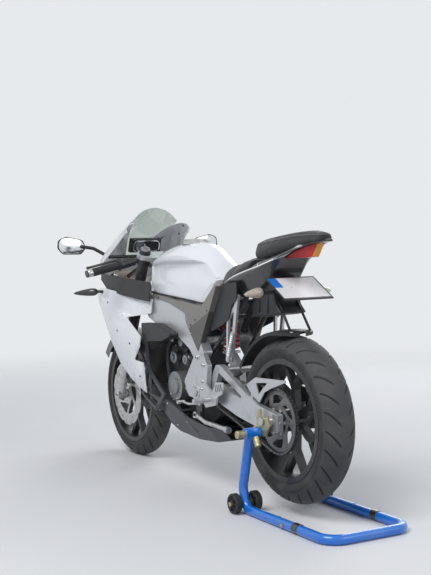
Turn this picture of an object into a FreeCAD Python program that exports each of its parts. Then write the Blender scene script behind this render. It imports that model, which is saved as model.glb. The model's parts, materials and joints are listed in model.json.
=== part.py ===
import FreeCAD, Part

import math
import os

from FreeCAD import Placement, Rotation, Vector

# Sport bike held upright by a blue rear paddock stand, in millimetres.
# +X points forward, +Y to the rider's left and +Z up; the floor is z = 0.
# Stations along the bike are measured from the rear axle with back() and from the
# front axle with fore(), and parts of the front fork along the fork's own axes.

# Driving sizes: name, value, what it measures
SIZES = (
    ("rear_axle_x", -593.0, "rear axle, from the middle of the whole length"),
    ("wheelbase", 1350.0, "rear axle to front axle along the floor"),
    ("rear_lift", 37.0, "height of the rear tyre over the floor on the stand"),
    ("rake_deg", 23.5, "lean of the steering axis from the vertical"),
    ("fork_offset", 30.0, "fork legs ahead of the steering axis"),
    ("steer_clearance", 0.3, "running gap at the steering head and hinged parts"),
    ("bore_clearance", 0.05, "radial running gap between a bore and its pin"),
    ("seat_gap", 0.3, "gap between parts that lie close without touching"),
    ("rear_tyre_radius", 314.0, "rear tyre, outside"),
    ("rear_tyre_half", 70.0, "rear tyre, half of its width"),
    ("rear_shoulder", 52.0, "rear tyre, crown above its widest point"),
    ("front_tyre_radius", 296.0, "front tyre, outside"),
    ("front_tyre_half", 50.0, "front tyre, half of its width"),
    ("front_shoulder", 46.0, "front tyre, crown above its widest point"),
    ("bead_radius", 216.0, "bead seat of both rims"),
    ("flange_radius", 230.0, "rim flange of both rims"),
    ("rim_wall", 6.0, "wall of the rim barrel"),
    ("rear_rim_half", 62.0, "rear rim, half of its width over the flanges"),
    ("front_rim_half", 45.0, "front rim, half of its width over the flanges"),
    ("spoke_half", 14.0, "half of a spoke's thickness across the wheel"),
    ("axle_radius", 10.0, "both wheel axles"),
    ("axle_bore_radius", 6.0, "bore through the front axle"),
    ("rear_axle_half", 126.0, "rear axle, half of its length"),
    ("front_axle_half", 122.0, "front axle, half of its length"),
    ("rear_hub_radius", 42.0, "rear hub"),
    ("front_hub_radius", 38.0, "front hub"),
    ("chain_y", 80.0, "chain line from the middle of the bike"),
    ("chain_pitch", 12.7, "pin to pin"),
    ("chain_teeth", 60.0, "teeth of the rear sprocket"),
    ("drive_teeth", 16.0, "teeth of the front sprocket"),
    ("drive_x", 598.0, "front sprocket, ahead of the rear axle"),
    ("drive_z", 428.0, "front sprocket, over the floor"),
    ("chain_half", 8.0, "half of the chain's width over its side plates"),
    ("link_plate", 3.0, "thickness of the chain's side plates"),
    ("link_half_height", 5.0, "half of a side plate's height"),
    ("roller_radius", 4.0, "chain roller"),
    ("sprocket_plate", 6.0, "thickness of the rear sprocket"),
    ("disc_plate", 5.0, "thickness of the brake discs"),
    ("front_disc_radius", 150.0, "front brake disc"),
    ("rear_disc_radius", 110.0, "rear brake disc"),
    ("front_disc_y", 62.0, "front brake disc from the middle of the bike"),
    ("rear_disc_y", -79.0, "rear brake disc from the middle of the bike"),
    ("arm_inner", 90.0, "swingarm, inner face of an arm from the middle"),
    ("arm_wall", 24.0, "swingarm, thickness of an arm"),
    ("pivot_x", 526.0, "swingarm pivot, ahead of the rear axle"),
    ("pivot_z", 404.0, "swingarm pivot, over the floor"),
    ("pivot_radius", 12.0, "swingarm pivot shaft"),
    ("spar_inner", 98.0, "frame spar, inner face from the middle"),
    ("spar_wall", 40.0, "frame spar, thickness across the bike"),
    ("hanger_wall", 20.0, "frame's lower plates, thickness"),
    ("head_radius", 32.0, "steering head, outside"),
    ("stem_radius", 17.0, "steering stem"),
    ("head_low", 560.0, "bottom of the steering head along the fork"),
    ("head_high", 706.0, "top of the steering head along the fork"),
    ("fork_spread", 97.0, "fork legs from the middle"),
    ("fork_outer_radius", 25.0, "outer fork tubes"),
    ("fork_inner_radius", 20.5, "inner fork tubes"),
    ("fork_split", 235.0, "bottom of the outer fork tubes along the fork"),
    ("fork_top", 746.0, "top of the outer fork tubes along the fork"),
    ("yoke_plate", 22.0, "thickness of the top yoke"),
    ("lower_yoke", 36.0, "thickness of the bottom yoke"),
    ("bar_radius", 11.0, "handlebar tubes"),
    ("grip_radius", 17.0, "handlebar grips"),
    ("engine_half", 70.0, "half of the engine's width without covers"),
    ("alternator_radius", 62.0, "alternator cover on the left"),
    ("alternator_depth", 54.0, "depth of the alternator cover"),
    ("clutch_radius", 74.0, "clutch cover on the right"),
    ("clutch_depth", 46.0, "depth of the clutch cover"),
    ("radiator_half", 128.0, "radiator, half of its width"),
    ("panel_wall", 5.0, "wall of the fairing panels"),
    ("screen_wall", 3.0, "wall of the windscreen"),
    ("fender_wall", 3.0, "wall of the mudguards"),
    ("fender_gap", 12.0, "gap between a tyre and its mudguard"),
    ("cap_radius", 50.0, "fuel cap"),
    ("cap_plate", 6.0, "thickness of the fuel cap"),
    ("filler_x", 755.0, "fuel filler, ahead of the rear axle"),
    ("filler_z", 1004.0, "floor of the filler's well"),
    ("stand_tube", 18.0, "radius of the paddock stand's tube"),
    ("stand_spread", 170.0, "side tubes of the stand from the middle"),
    ("stand_back", 442.0, "stand's rear bar, behind the rear axle"),
    ("stand_wheel_radius", 38.0, "stand wheels"),
    ("stand_wheel_width", 26.0, "stand wheels"),
    ("stand_axle_x", 112.0, "stand wheels, ahead of the rear axle"),
    ("stand_pin_radius", 6.0, "axles of the stand wheels"),
    ("spool_x", 30.0, "stand spools, ahead of the rear axle"),
    ("spool_z", 352.0, "stand spools, over the floor"),
    ("spool_radius", 10.0, "waist of the stand spools"),
    ("spool_length", 26.0, "stand spools out of the swingarm"),
    ("spool_cap", 4.0, "thickness of a spool's cap"),
    ("hook_y", 127.0, "hook plates, inner face from the middle"),
    ("hook_wall", 7.0, "thickness of the hook plates"),
    ("pillion_arm_y", 104.0, "arm of the passenger's peg, inner face from the middle"),
    ("pillion_arm_wall", 10.0, "thickness of that arm"),
    ("side_stand_radius", 9.0, "leg of the side stand"),
    ("side_stand_lean", 12.0, "lean of the side stand's bolt, degrees"),
    ("plate_wide", 200.0, "number plate, width"),
    ("plate_tall", 151.0, "number plate, height"),
)

doc = FreeCAD.newDocument("sport_bike")
sheet = doc.addObject("Spreadsheet::Sheet", "Sizes")
NODES = {}
PIECES = {}


def fill_sheet():
    """Write the driving sizes to the sheet, each with its alias."""
    for row, (alias, value, meaning) in enumerate(SIZES, start=1):
        sheet.set(f"A{row}", meaning)
        sheet.set(f"B{row}", str(value))
        sheet.setAlias(f"B{row}", alias)
    doc.recompute()


fill_sheet()


def size(alias):
    """Value of one driving size."""
    return float(sheet.get(alias))


def back(x):
    """Frame X of a station measured forward from the rear axle."""
    return size("rear_axle_x") + x


def fore(x):
    """Frame X of a station measured forward from the front axle."""
    return size("rear_axle_x") + size("wheelbase") + x


REAR_AXLE = Vector(back(0), 0, size("rear_tyre_radius") + size("rear_lift"))
FRONT_AXLE = Vector(fore(0), 0, size("front_tyre_radius"))
RAKE = math.radians(size("rake_deg"))
FORK_UP = Vector(-math.sin(RAKE), 0, math.cos(RAKE))
FORK_AHEAD = Vector(math.cos(RAKE), 0, math.sin(RAKE))
LEFT = Vector(0, 1, 0)
RIGHT = Vector(0, -1, 0)
FORK_FRAME = Placement(FRONT_AXLE, Rotation(LEFT, -size("rake_deg")))
FULL_TURN = 360.0


def on_fork(ahead, y, up):
    """Point given along the fork's own axes from the front axle."""
    return FRONT_AXLE + FORK_AHEAD * ahead + LEFT * y + FORK_UP * up


# Builders of single features

def feature(name, shape):
    """Document object that holds a finished shape."""
    item = doc.addObject("Part::Feature", name)
    item.Shape = shape
    return item


def rod(name, radius, length, base, axis):
    """Round bar from base along axis, its radius and length bound to the sheet."""
    bar = doc.addObject("Part::Cylinder", name)
    bar.setExpression("Radius", radius)
    bar.setExpression("Height", length)
    bar.Placement = Placement(base, Rotation(Vector(0, 0, 1), axis))
    return bar


def block(name, sides, low, turn=None):
    """Rectangular block from its lowest corner, sides given as expressions or numbers."""
    box = doc.addObject("Part::Box", name)
    for prop, value in zip(("Length", "Width", "Height"), sides):
        box.setExpression(prop, str(value))
    box.Placement = Placement(low, turn or Rotation())
    return box


def rounded(points, radius, closed=True):
    """Straight runs joined by tangent arcs, smaller where a run is short."""
    count = len(points)
    corners = range(count) if closed else range(1, count - 1)
    starts, ends, arcs = {}, {}, {}
    for i in corners:
        here = points[i]
        before = points[i - 1] - here
        after = points[(i + 1) % count] - here
        shortest = min(before.Length, after.Length)
        before.normalize()
        after.normalize()
        half = before.getAngle(after) / 2
        if half > math.radians(89.5) or radius <= 0:
            continue
        reach = min(radius / math.tan(half), 0.45 * shortest)
        bend = reach * math.tan(half)
        middle = (before + after).normalize()
        starts[i] = here + before * reach
        ends[i] = here + after * reach
        arcs[i] = Part.Arc(starts[i], here + middle * (bend / math.sin(half) - bend), ends[i])
    edges = []
    for i in range(count if closed else count - 1):
        j = (i + 1) % count
        first = ends.get(i, points[i])
        last = starts.get(j, points[j])
        edges.append(Part.LineSegment(first, last))
        if j in arcs:
            edges.append(arcs[j])
    return edges


def ring_of(edges):
    """Closed or open wire of curve pieces."""
    return Part.Wire([edge.toShape() for edge in edges])


def plate(name, outline, thickness, low_y, corner=0.0, holes=()):
    """Flat plate across the bike: side outline of (x, z), pressed to +Y from low_y."""
    body = doc.addObject("PartDesign::Body", name)
    sketch = body.newObject("Sketcher::SketchObject", name + "_outline")
    side = next(p for p in body.Origin.OriginFeatures if p.Role == "XZ_Plane")
    sketch.AttachmentSupport = [(side, "")]
    sketch.MapMode = "FlatFace"
    for loop in (outline, *holes):
        points = [Vector(x, z, 0) for x, z in loop]
        for edge in rounded(points, corner):
            sketch.addGeometry(edge)
    pad = body.newObject("PartDesign::Pad", name + "_pad")
    pad.Profile = sketch
    pad.setExpression("Length", str(thickness))
    pad.Reversed = True
    body.Placement = Placement(Vector(0, low_y, 0), Rotation())
    return body


def turned(name, profile, centre):
    """Solid of revolution about the cross axis through centre: profile of (radius, y)."""
    body = doc.addObject("PartDesign::Body", name)
    sketch = body.newObject("Sketcher::SketchObject", name + "_profile")
    flat = next(p for p in body.Origin.OriginFeatures if p.Role == "XY_Plane")
    sketch.AttachmentSupport = [(flat, "")]
    sketch.MapMode = "FlatFace"
    for edge in profile:
        sketch.addGeometry(edge)
    lathe = body.newObject("PartDesign::Revolution", name + "_lathe")
    lathe.Profile = sketch
    lathe.ReferenceAxis = (sketch, ["V_Axis"])
    lathe.Angle = FULL_TURN
    body.Placement = Placement(centre, Rotation())
    return body


def profile_of(points):
    """Closed profile of straight sides through (radius, y) points."""
    corners = [Vector(r, y, 0) for r, y in points]
    return [Part.LineSegment(a, b) for a, b in zip(corners, corners[1:] + corners[:1])]


def arc_band(name, section, centre, start_deg, sweep_deg):
    """Part of a ring about the cross axis: section of (radius, y), angles from +X up."""
    corners = [Vector(r, y, 0) for r, y in section]
    face = Part.Face(Part.makePolygon(corners + corners[:1]))
    band = face.revolve(Vector(0, 0, 0), RIGHT, sweep_deg)
    band.rotate(Vector(0, 0, 0), RIGHT, start_deg)
    item = feature(name, band)
    item.Placement = Placement(centre, Rotation()).multiply(item.Placement)
    return item


def tube(name, points, radius, bend=0.0):
    """Bent round tube through points, its bends tangent arcs."""
    path = ring_of(rounded(points, bend, closed=False))
    start = Part.Wire([Part.makeCircle(radius, points[0], points[1] - points[0])])
    return feature(name, path.makePipeShell([start], True, False))


def loft(name, rings, ruled=False):
    """Solid through closed rings."""
    return feature(name, Part.makeLoft(rings, True, ruled))


def arched_ring(x, low_half, low_z, mid_half, mid_z, top_half, shoulder_z, crown_z):
    """Cross-section at x: flat below, two straight flanks a side and an arched top."""
    side = ((low_half, low_z), (mid_half, mid_z), (top_half, shoulder_z))
    left = [Vector(x, y, z) for y, z in side]
    right = [Vector(x, -y, z) for y, z in reversed(side)]
    edges = [Part.LineSegment(right[-1], left[0])]
    edges += [Part.LineSegment(a, b) for a, b in zip(left, left[1:])]
    edges.append(Part.Arc(left[-1], Vector(x, 0, crown_z), right[0]))
    edges += [Part.LineSegment(a, b) for a, b in zip(right, right[1:])]
    return ring_of(edges)


def wall_ring(x, line, wall):
    """Cross-section of a panel at x: outer line of (y, z) and the same line moved inwards."""
    outer = [Vector(x, y, z) for y, z in line]
    inner = []
    for i, point in enumerate(outer):
        ahead = outer[min(i + 1, len(outer) - 1)] - outer[max(i - 1, 0)]
        inwards = Vector(0, ahead.z, -ahead.y).normalize()
        inner.append(point + inwards * wall)
    loop = outer + inner[::-1]
    return Part.makePolygon(loop + loop[:1])


def panel(name, stations, wall):
    """Thin curved panel: stations of (x, outer line of (y, z) from top to bottom)."""
    return loft(name, [wall_ring(x, line, wall) for x, line in stations], ruled=True)


def fused(name, pieces):
    """One solid of several."""
    whole = doc.addObject("Part::MultiFuse", name)
    whole.Shapes = pieces
    return whole


def cut(name, base, tool):
    """Base with the tool's space removed."""
    rest = doc.addObject("Part::Cut", name)
    rest.Base = base
    rest.Tool = tool
    return rest


def mirrored(name, source):
    """The same piece on the other side of the bike."""
    twin = doc.addObject("Part::Mirroring", name)
    twin.Source = source
    twin.Normal = LEFT
    return twin


def together(name, pieces):
    """Like pieces that share a node without being joined."""
    group = doc.addObject("Part::Compound", name)
    group.Links = pieces
    return group


def node(name, item):
    """Publish a finished piece under its node's name."""
    item.Label = name
    NODES[name] = item
    return item


def both_sides(name, left_piece):
    """Publish a left piece and its mirror image as one node."""
    right_piece = mirrored(name + "_right_side", left_piece)
    return node(name, together(name + "_pair", [left_piece, right_piece]))


def polar(centre, radius, angle_deg, y=0.0):
    """Point at an angle from +X towards +Z about a cross axis."""
    angle = math.radians(angle_deg)
    return centre + Vector(radius * math.cos(angle), y, radius * math.sin(angle))


# Wheels

def tyre(name, centre, radius, half, shoulder, rim_half):
    """Tyre: bead between the flanges, flat sidewalls and a round crown."""
    bead_half = rim_half - size("rim_wall") / 2
    bead, flange = size("bead_radius"), size("flange_radius")
    widest = radius - shoulder
    left = [Vector(bead, bead_half, 0), Vector(flange, bead_half, 0), Vector(widest, half, 0)]
    right = [Vector(p.x, -p.y, 0) for p in reversed(left)]
    edges = [Part.LineSegment(a, b) for a, b in zip(left, left[1:])]
    edges.append(Part.Arc(left[-1], Vector(radius, 0, 0), right[0]))
    edges += [Part.LineSegment(a, b) for a, b in zip(right, right[1:])]
    edges.append(Part.LineSegment(right[-1], left[0]))
    return node(name, turned(name, edges, centre))


def forked_spoke(name, centre, inner, outer, half):
    """One spoke along +X that forks in two towards the rim."""
    fork_radius = inner + 0.42 * (outer - inner)
    inset, stem, root, tip, spread = 4.0, 11.0, 15.0, 8.0, 0.28
    ahead = [(inner - inset, root), (fork_radius, stem)]
    end_radius = outer + size("rim_wall") / 2
    branch = [
        (math.sqrt(end_radius ** 2 - z ** 2), z)
        for z in (outer * spread + tip, outer * spread - tip)
    ]
    crotch = (fork_radius + 22.0, 0.0)
    upper = ahead + branch
    lower = [(x, -z) for x, z in reversed(upper)]
    corners = [Vector(x, -half, z) for x, z in upper + [crotch] + lower]
    face = Part.Face(Part.makePolygon(corners + corners[:1]))
    item = feature(name, face.extrude(LEFT * (2 * half)))
    item.Placement = Placement(centre, Rotation())
    return item


SPOKES = 6


def rim(name, centre, rim_half, hub_radius, hub_low, hub_high):
    """Cast wheel: barrel with flanges, forked spokes and a bored hub."""
    wall, bead, flange = size("rim_wall"), size("bead_radius"), size("flange_radius")
    inside = bead - wall
    lip = rim_half - wall / 2
    section = (
        (inside, -rim_half), (flange, -rim_half), (flange, -lip), (bead, -lip),
        (bead, lip), (flange, lip), (flange, rim_half), (inside, rim_half),
    )
    barrel = turned(name + "_barrel", profile_of(section), centre)
    hub = rod(name + "_hub", str(hub_radius), str(hub_high - hub_low), centre + LEFT * hub_low, LEFT)
    spokes = []
    for i in range(SPOKES):
        spoke = forked_spoke(f"{name}_spoke_{i}", centre, hub_radius, inside, size("spoke_half"))
        spoke.Placement.Rotation = Rotation(RIGHT, 90 + i * FULL_TURN / SPOKES)
        spokes.append(spoke)
    cast = fused(name + "_cast", [barrel, hub, *spokes])
    bore = rod(name + "_bore", "Sizes.axle_radius + Sizes.bore_clearance",
               str(hub_high - hub_low + 2), centre + LEFT * (hub_low - 1), LEFT)
    return node(name, cut(name, cast, bore))


def toothed_ring(name, centre, y, teeth, pitch_radius, inner_radius, thickness):
    """Sprocket: teeth just inside the chain's rollers, with round lightening holes."""
    tip = pitch_radius - size("roller_radius") - size("seat_gap")
    root = tip - 5.0
    outline = []
    for i in range(int(teeth)):
        for share, radius in ((0.0, root), (0.3, root), (0.5, tip), (0.8, tip)):
            outline.append(polar(Vector(0, 0, 0), radius, (i + share) * FULL_TURN / teeth))
    face = Part.Face(Part.makePolygon(outline + outline[:1]))
    solid = face.extrude(LEFT * thickness)
    shaft = Part.makeCylinder(inner_radius, thickness, Vector(0, 0, 0), LEFT)
    solid = solid.cut(shaft)
    middle = (inner_radius + root) / 2
    hole_radius = (root - inner_radius) * 0.2
    for i in range(SPOKES):
        at = polar(Vector(0, 0, 0), middle, i * FULL_TURN / SPOKES)
        solid = solid.cut(Part.makeCylinder(hole_radius, thickness, at, LEFT))
    item = feature(name, solid)
    item.Placement = Placement(centre + LEFT * y, Rotation())
    return node(name, item)


WAVES = 10


def wave_disc(name, centre, y, radius, inner_radius):
    """Brake disc with a scalloped rim and slots that lighten it."""
    disc = Part.makeCylinder(radius, size("disc_plate"), Vector(0, 0, 0), LEFT)
    disc = disc.cut(Part.makeCylinder(inner_radius, size("disc_plate"), Vector(0, 0, 0), LEFT))
    bite, slot = 0.16 * radius, 0.085 * radius
    for i in range(WAVES):
        turn = i * FULL_TURN / WAVES
        notch = polar(Vector(0, 0, 0), radius + 0.75 * bite, turn)
        opening = polar(Vector(0, 0, 0), radius * 0.64, turn)
        disc = disc.cut(Part.makeCylinder(bite, size("disc_plate"), notch, LEFT))
        disc = disc.cut(Part.makeCylinder(slot, size("disc_plate"), opening, LEFT))
    item = feature(name, disc)
    item.Placement = Placement(centre + LEFT * y, Rotation())
    return node(name, item)


def build_wheels():
    """Both wheels with tyre, rim, sprocket and discs, and their axles."""
    rear_hub_low = size("rear_disc_y") + size("disc_plate") / 2
    rear_hub_high = size("chain_y") - size("sprocket_plate") / 2
    tyre("rear_tyre", REAR_AXLE, size("rear_tyre_radius"), size("rear_tyre_half"),
         size("rear_shoulder"), size("rear_rim_half"))
    rim("rear_rim", REAR_AXLE, size("rear_rim_half"), size("rear_hub_radius"),
        rear_hub_low, rear_hub_high)
    front_hub_high = size("front_disc_y") - size("disc_plate") / 2
    tyre("front_tyre", FRONT_AXLE, size("front_tyre_radius"), size("front_tyre_half"),
         size("front_shoulder"), size("front_rim_half"))
    rim("front_rim", FRONT_AXLE, size("front_rim_half"), size("front_hub_radius"),
        -front_hub_high, front_hub_high)
    shaft = size("axle_radius") + size("bore_clearance")
    toothed_ring("rear_sprocket", REAR_AXLE, rear_hub_high, size("chain_teeth"),
                 sprocket_radius("chain_teeth"), shaft, size("sprocket_plate"))
    wave_disc("front_disc", FRONT_AXLE, front_hub_high, size("front_disc_radius"), shaft)
    rear_disc_low = size("rear_disc_y") - size("disc_plate") / 2
    wave_disc("rear_disc", REAR_AXLE, rear_disc_low, size("rear_disc_radius"), shaft)


def sprocket_radius(teeth_size):
    """Pitch radius of a sprocket with this many teeth."""
    return size("chain_pitch") / (2 * math.sin(math.pi / size(teeth_size)))


# Drive

def chain_path(offset):
    """Closed loop round both sprockets, its wire moved outwards by offset."""
    big = sprocket_radius("chain_teeth")
    small = sprocket_radius("drive_teeth")
    drive = Vector(back(size("drive_x")), 0, size("drive_z"))
    across = drive - REAR_AXLE
    slope = math.degrees(math.atan2(across.z, across.x))
    lean = math.degrees(math.acos((big - small) / across.Length))
    top_rear = polar(REAR_AXLE, big + offset, slope + lean)
    top_drive = polar(drive, small + offset, slope + lean)
    low_rear = polar(REAR_AXLE, big + offset, slope - lean)
    low_drive = polar(drive, small + offset, slope - lean)
    return [
        Part.LineSegment(top_rear, top_drive),
        Part.Arc(top_drive, polar(drive, small + offset, slope), low_drive),
        Part.LineSegment(low_drive, low_rear),
        Part.Arc(low_rear, polar(REAR_AXLE, big + offset, slope + 180), top_rear),
    ]


def build_chain():
    """Drive chain: two rows of side plates and a roller at every pin."""
    half, strip, high = size("chain_half"), size("link_plate"), size("link_half_height")
    outer = Part.Face(ring_of(chain_path(high)))
    inner = Part.Face(ring_of(chain_path(-high)))
    band = outer.cut(inner)
    rows = []
    for side, low in (("inner", -half), ("outer", half - strip)):
        row = band.extrude(LEFT * strip)
        row.translate(LEFT * (size("chain_y") + low))
        rows.append(feature(f"chain_{side}_plates", row))
    pitch_line = ring_of(chain_path(0.0))
    count = 2 * round(pitch_line.Length / size("chain_pitch") / 2)
    length = 2 * (half - strip)
    rollers = []
    for point in pitch_line.discretize(Number=count + 1)[:count]:
        base = point + LEFT * (size("chain_y") - half + strip)
        corners = [polar(base, size("roller_radius"), 60 * k) for k in range(6)]
        hexagon = Part.Face(Part.makePolygon(corners + corners[:1]))
        rollers.append(hexagon.extrude(LEFT * length))
    pins = feature("chain_rollers", Part.makeCompound(rollers))
    node("chain", fused("chain", [rows[0], pins, rows[1]]))


def build_drive():
    """Engine, its covers, exhaust and radiator."""
    crankcase = [(back(x), z) for x, z in (
        (452, 305), (446, 372), (560, 372), (560, 478), (612, 484), (682, 636), (842, 636),
        (800, 470), (815, 330), (770, 268), (520, 262),
    )]
    engine = plate("engine_cases", crankcase, "2 * Sizes.engine_half", -size("engine_half"), 12)
    lug_outline = [(back(x), z) for x, z in ((726, 600), (778, 600), (770, 672), (734, 672))]
    lug = plate("engine_lug", lug_outline, "Sizes.spar_inner - Sizes.engine_half",
                size("engine_half"), 6)
    node("engine_block", fused("engine_solid", [engine, lug, mirrored("engine_lug_right", lug)]))
    left_face, right_face = size("engine_half"), -size("engine_half")
    alternator = rod("alternator_cover", "Sizes.alternator_radius", "Sizes.alternator_depth",
                     Vector(back(737), left_face, 404), LEFT)
    alternator_cap = rod("alternator_cap", "Sizes.alternator_radius * 0.55", "7",
                         Vector(back(737), left_face + size("alternator_depth"), 404), LEFT)
    generator = fused("generator_cover", [alternator, alternator_cap])
    guard_outline = [(back(x), z) for x, z in (
        (562, 388), (566, 458), (604, 476), (650, 452), (662, 400), (628, 374),
    )]
    guard = plate("sprocket_guard", guard_outline, 24, left_face + 22, 8)
    posts = [
        rod(f"guard_post_{i}", "7", "24", Vector(back(x), left_face, z), LEFT)
        for i, (x, z) in enumerate(((652, 446), (650, 396)))
    ]
    guarded = fused("drive_cover", [guard, *posts])
    clutch = rod("clutch_cover", "Sizes.clutch_radius", "Sizes.clutch_depth",
                 Vector(back(668), right_face, 380), RIGHT)
    filter_cap = rod("filter_cap", "Sizes.clutch_radius * 0.35", "9",
                     Vector(back(668), right_face - size("clutch_depth"), 380), RIGHT)
    clutch_side = fused("clutch_side", [clutch, filter_cap])
    node("engine_covers", together("engine_covers", [generator, guarded, clutch_side]))
    core = [(back(x), z) for x, z in ((952, 388), (984, 380), (1020, 590), (988, 598))]
    matrix = plate("radiator_core", core, "2 * Sizes.radiator_half", -size("radiator_half"), 4)
    hoses = [
        tube(f"hose_{tag}", [
            Vector(back(820), y, 606), Vector(back(905), y, 612), Vector(back(1000), y, 584),
        ], 13, 40)
        for tag, y in (("left", 52), ("right", -58))
    ]
    hosed = fused("radiator_hosed", [matrix, *hoses])
    node("radiator", cut("radiator", hosed, NODES["engine_block"]))
    header = tube("header_pipe", [
        Vector(back(822), 0, 560), Vector(back(880), 0, 540), Vector(back(898), -20, 420),
        Vector(back(858), -40, 262), Vector(back(640), -56, 239), Vector(back(430), -58, 248),
        Vector(back(350), -64, 262), Vector(back(290), -160, 338),
    ], 19, 60)
    canister = tube("silencer", [Vector(back(302), -158, 330), Vector(back(126), -174, 480)], 44)
    outlet = tube("silencer_outlet", [Vector(back(132), -174, 475), Vector(back(104), -176, 498)], 24)
    system = fused("exhaust_system", [header, canister, outlet])
    node("exhaust", cut("exhaust", system, NODES["engine_block"]))


# Frame and swingarm

def build_frame():
    """Twin-spar frame: head, arms, spars, lower plates, pivot tube and cross tubes."""
    spar_outline = [(fore(x), z) for x, z in ((-390, 690), (-412, 784))]
    spar_outline += [(back(x), z) for x, z in (
        (743, 765), (601, 726), (509, 651), (451, 568),
        (505, 510), (575, 576), (692, 629), (875, 661),
    )]
    hanger_outline = [(back(x), z) for x, z in (
        (627, 437), (587, 380), (489, 374), (440, 430), (424, 520), (462, 568), (530, 560),
    )]
    head_low, head_high = size("head_low"), size("head_high")
    head = rod("steering_head", "Sizes.head_radius", "Sizes.head_high - Sizes.head_low",
               on_fork(-size("fork_offset"), 0, head_low), FORK_UP)
    inner, outer = size("spar_inner"), size("spar_inner") + size("spar_wall")
    halves = []
    for side in (1, -1):
        tag = "left" if side > 0 else "right"
        spar_low = inner if side > 0 else -outer
        hanger_low = outer - size("hanger_wall") if side > 0 else -outer
        halves.append(plate(f"spar_{tag}", spar_outline, "Sizes.spar_wall", spar_low, 14))
        halves.append(plate(f"hanger_{tag}", hanger_outline, "Sizes.hanger_wall", hanger_low, 14))
        at_spar = [
            Vector(fore(-398), side * outer, 692), Vector(fore(-410), side * outer, 780),
            Vector(fore(-410), side * inner, 780), Vector(fore(-398), side * inner, 692),
        ]
        near, far = on_fork(-44, 0, head_low + 12), on_fork(-44, 0, head_high - 10)
        at_head = [
            near + LEFT * (side * 26), far + LEFT * (side * 26),
            far + LEFT * (side * 4), near + LEFT * (side * 4),
        ]
        rings = [Part.makePolygon(r + r[:1]) for r in (at_spar, at_head)]
        halves.append(loft(f"head_arm_{tag}", rings, ruled=True))
    sunk = 5
    span = f"2 * Sizes.spar_inner + {2 * sunk}"
    cross_low = rod("cross_tube", "18", span, Vector(back(592), -inner - sunk, 602), LEFT)
    cross_top = rod("tank_tube", "14", span, Vector(back(640), -inner - sunk, 700), LEFT)
    frame = fused("frame_solid", [head, *halves, cross_low, cross_top])
    stem_room = rod("stem_room", "Sizes.stem_radius + Sizes.bore_clearance",
                    "Sizes.head_high - Sizes.head_low + 2",
                    on_fork(-size("fork_offset"), 0, head_low - 1), FORK_UP)
    bored = cut("frame_bored", frame, stem_room)
    pivot_room = rod("pivot_room", "Sizes.pivot_radius + Sizes.bore_clearance", str(2 * outer),
                     Vector(back(size("pivot_x")), -outer, size("pivot_z")), LEFT)
    node("main_frame", cut("main_frame", bored, pivot_room))


def build_subframe():
    """Seat rails and their lower stays behind the frame."""
    rails = []
    for side in (1, -1):
        tag = "left" if side > 0 else "right"
        rails.append(tube(f"seat_rail_{tag}", [
            Vector(back(520), side * 86, 640), Vector(back(430), side * 84, 770),
            Vector(back(180), side * 60, 858), Vector(back(60), side * 56, 892),
        ], 11, 60))
        rails.append(tube(f"seat_stay_{tag}", [
            Vector(back(480), side * 86, 560), Vector(back(180), side * 60, 852),
        ], 9))
    ties = [
        rod(f"rail_tie_{i}", "9", str(2 * half), Vector(back(x), -half, z), LEFT)
        for i, (x, z, half) in enumerate(((430, 770, 84), (180, 858, 60), (474, 706, 86)))
    ]
    ties += [
        rod(f"frame_tie_{tag}", "9", "22", Vector(back(505), side * 76, 652), LEFT * side)
        for tag, side in (("left", 1), ("right", -1))
    ]
    PIECES["seat_subframe"] = cut("seat_subframe", fused("subframe_solid", rails + ties),
                                  NODES["main_frame"])


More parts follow.
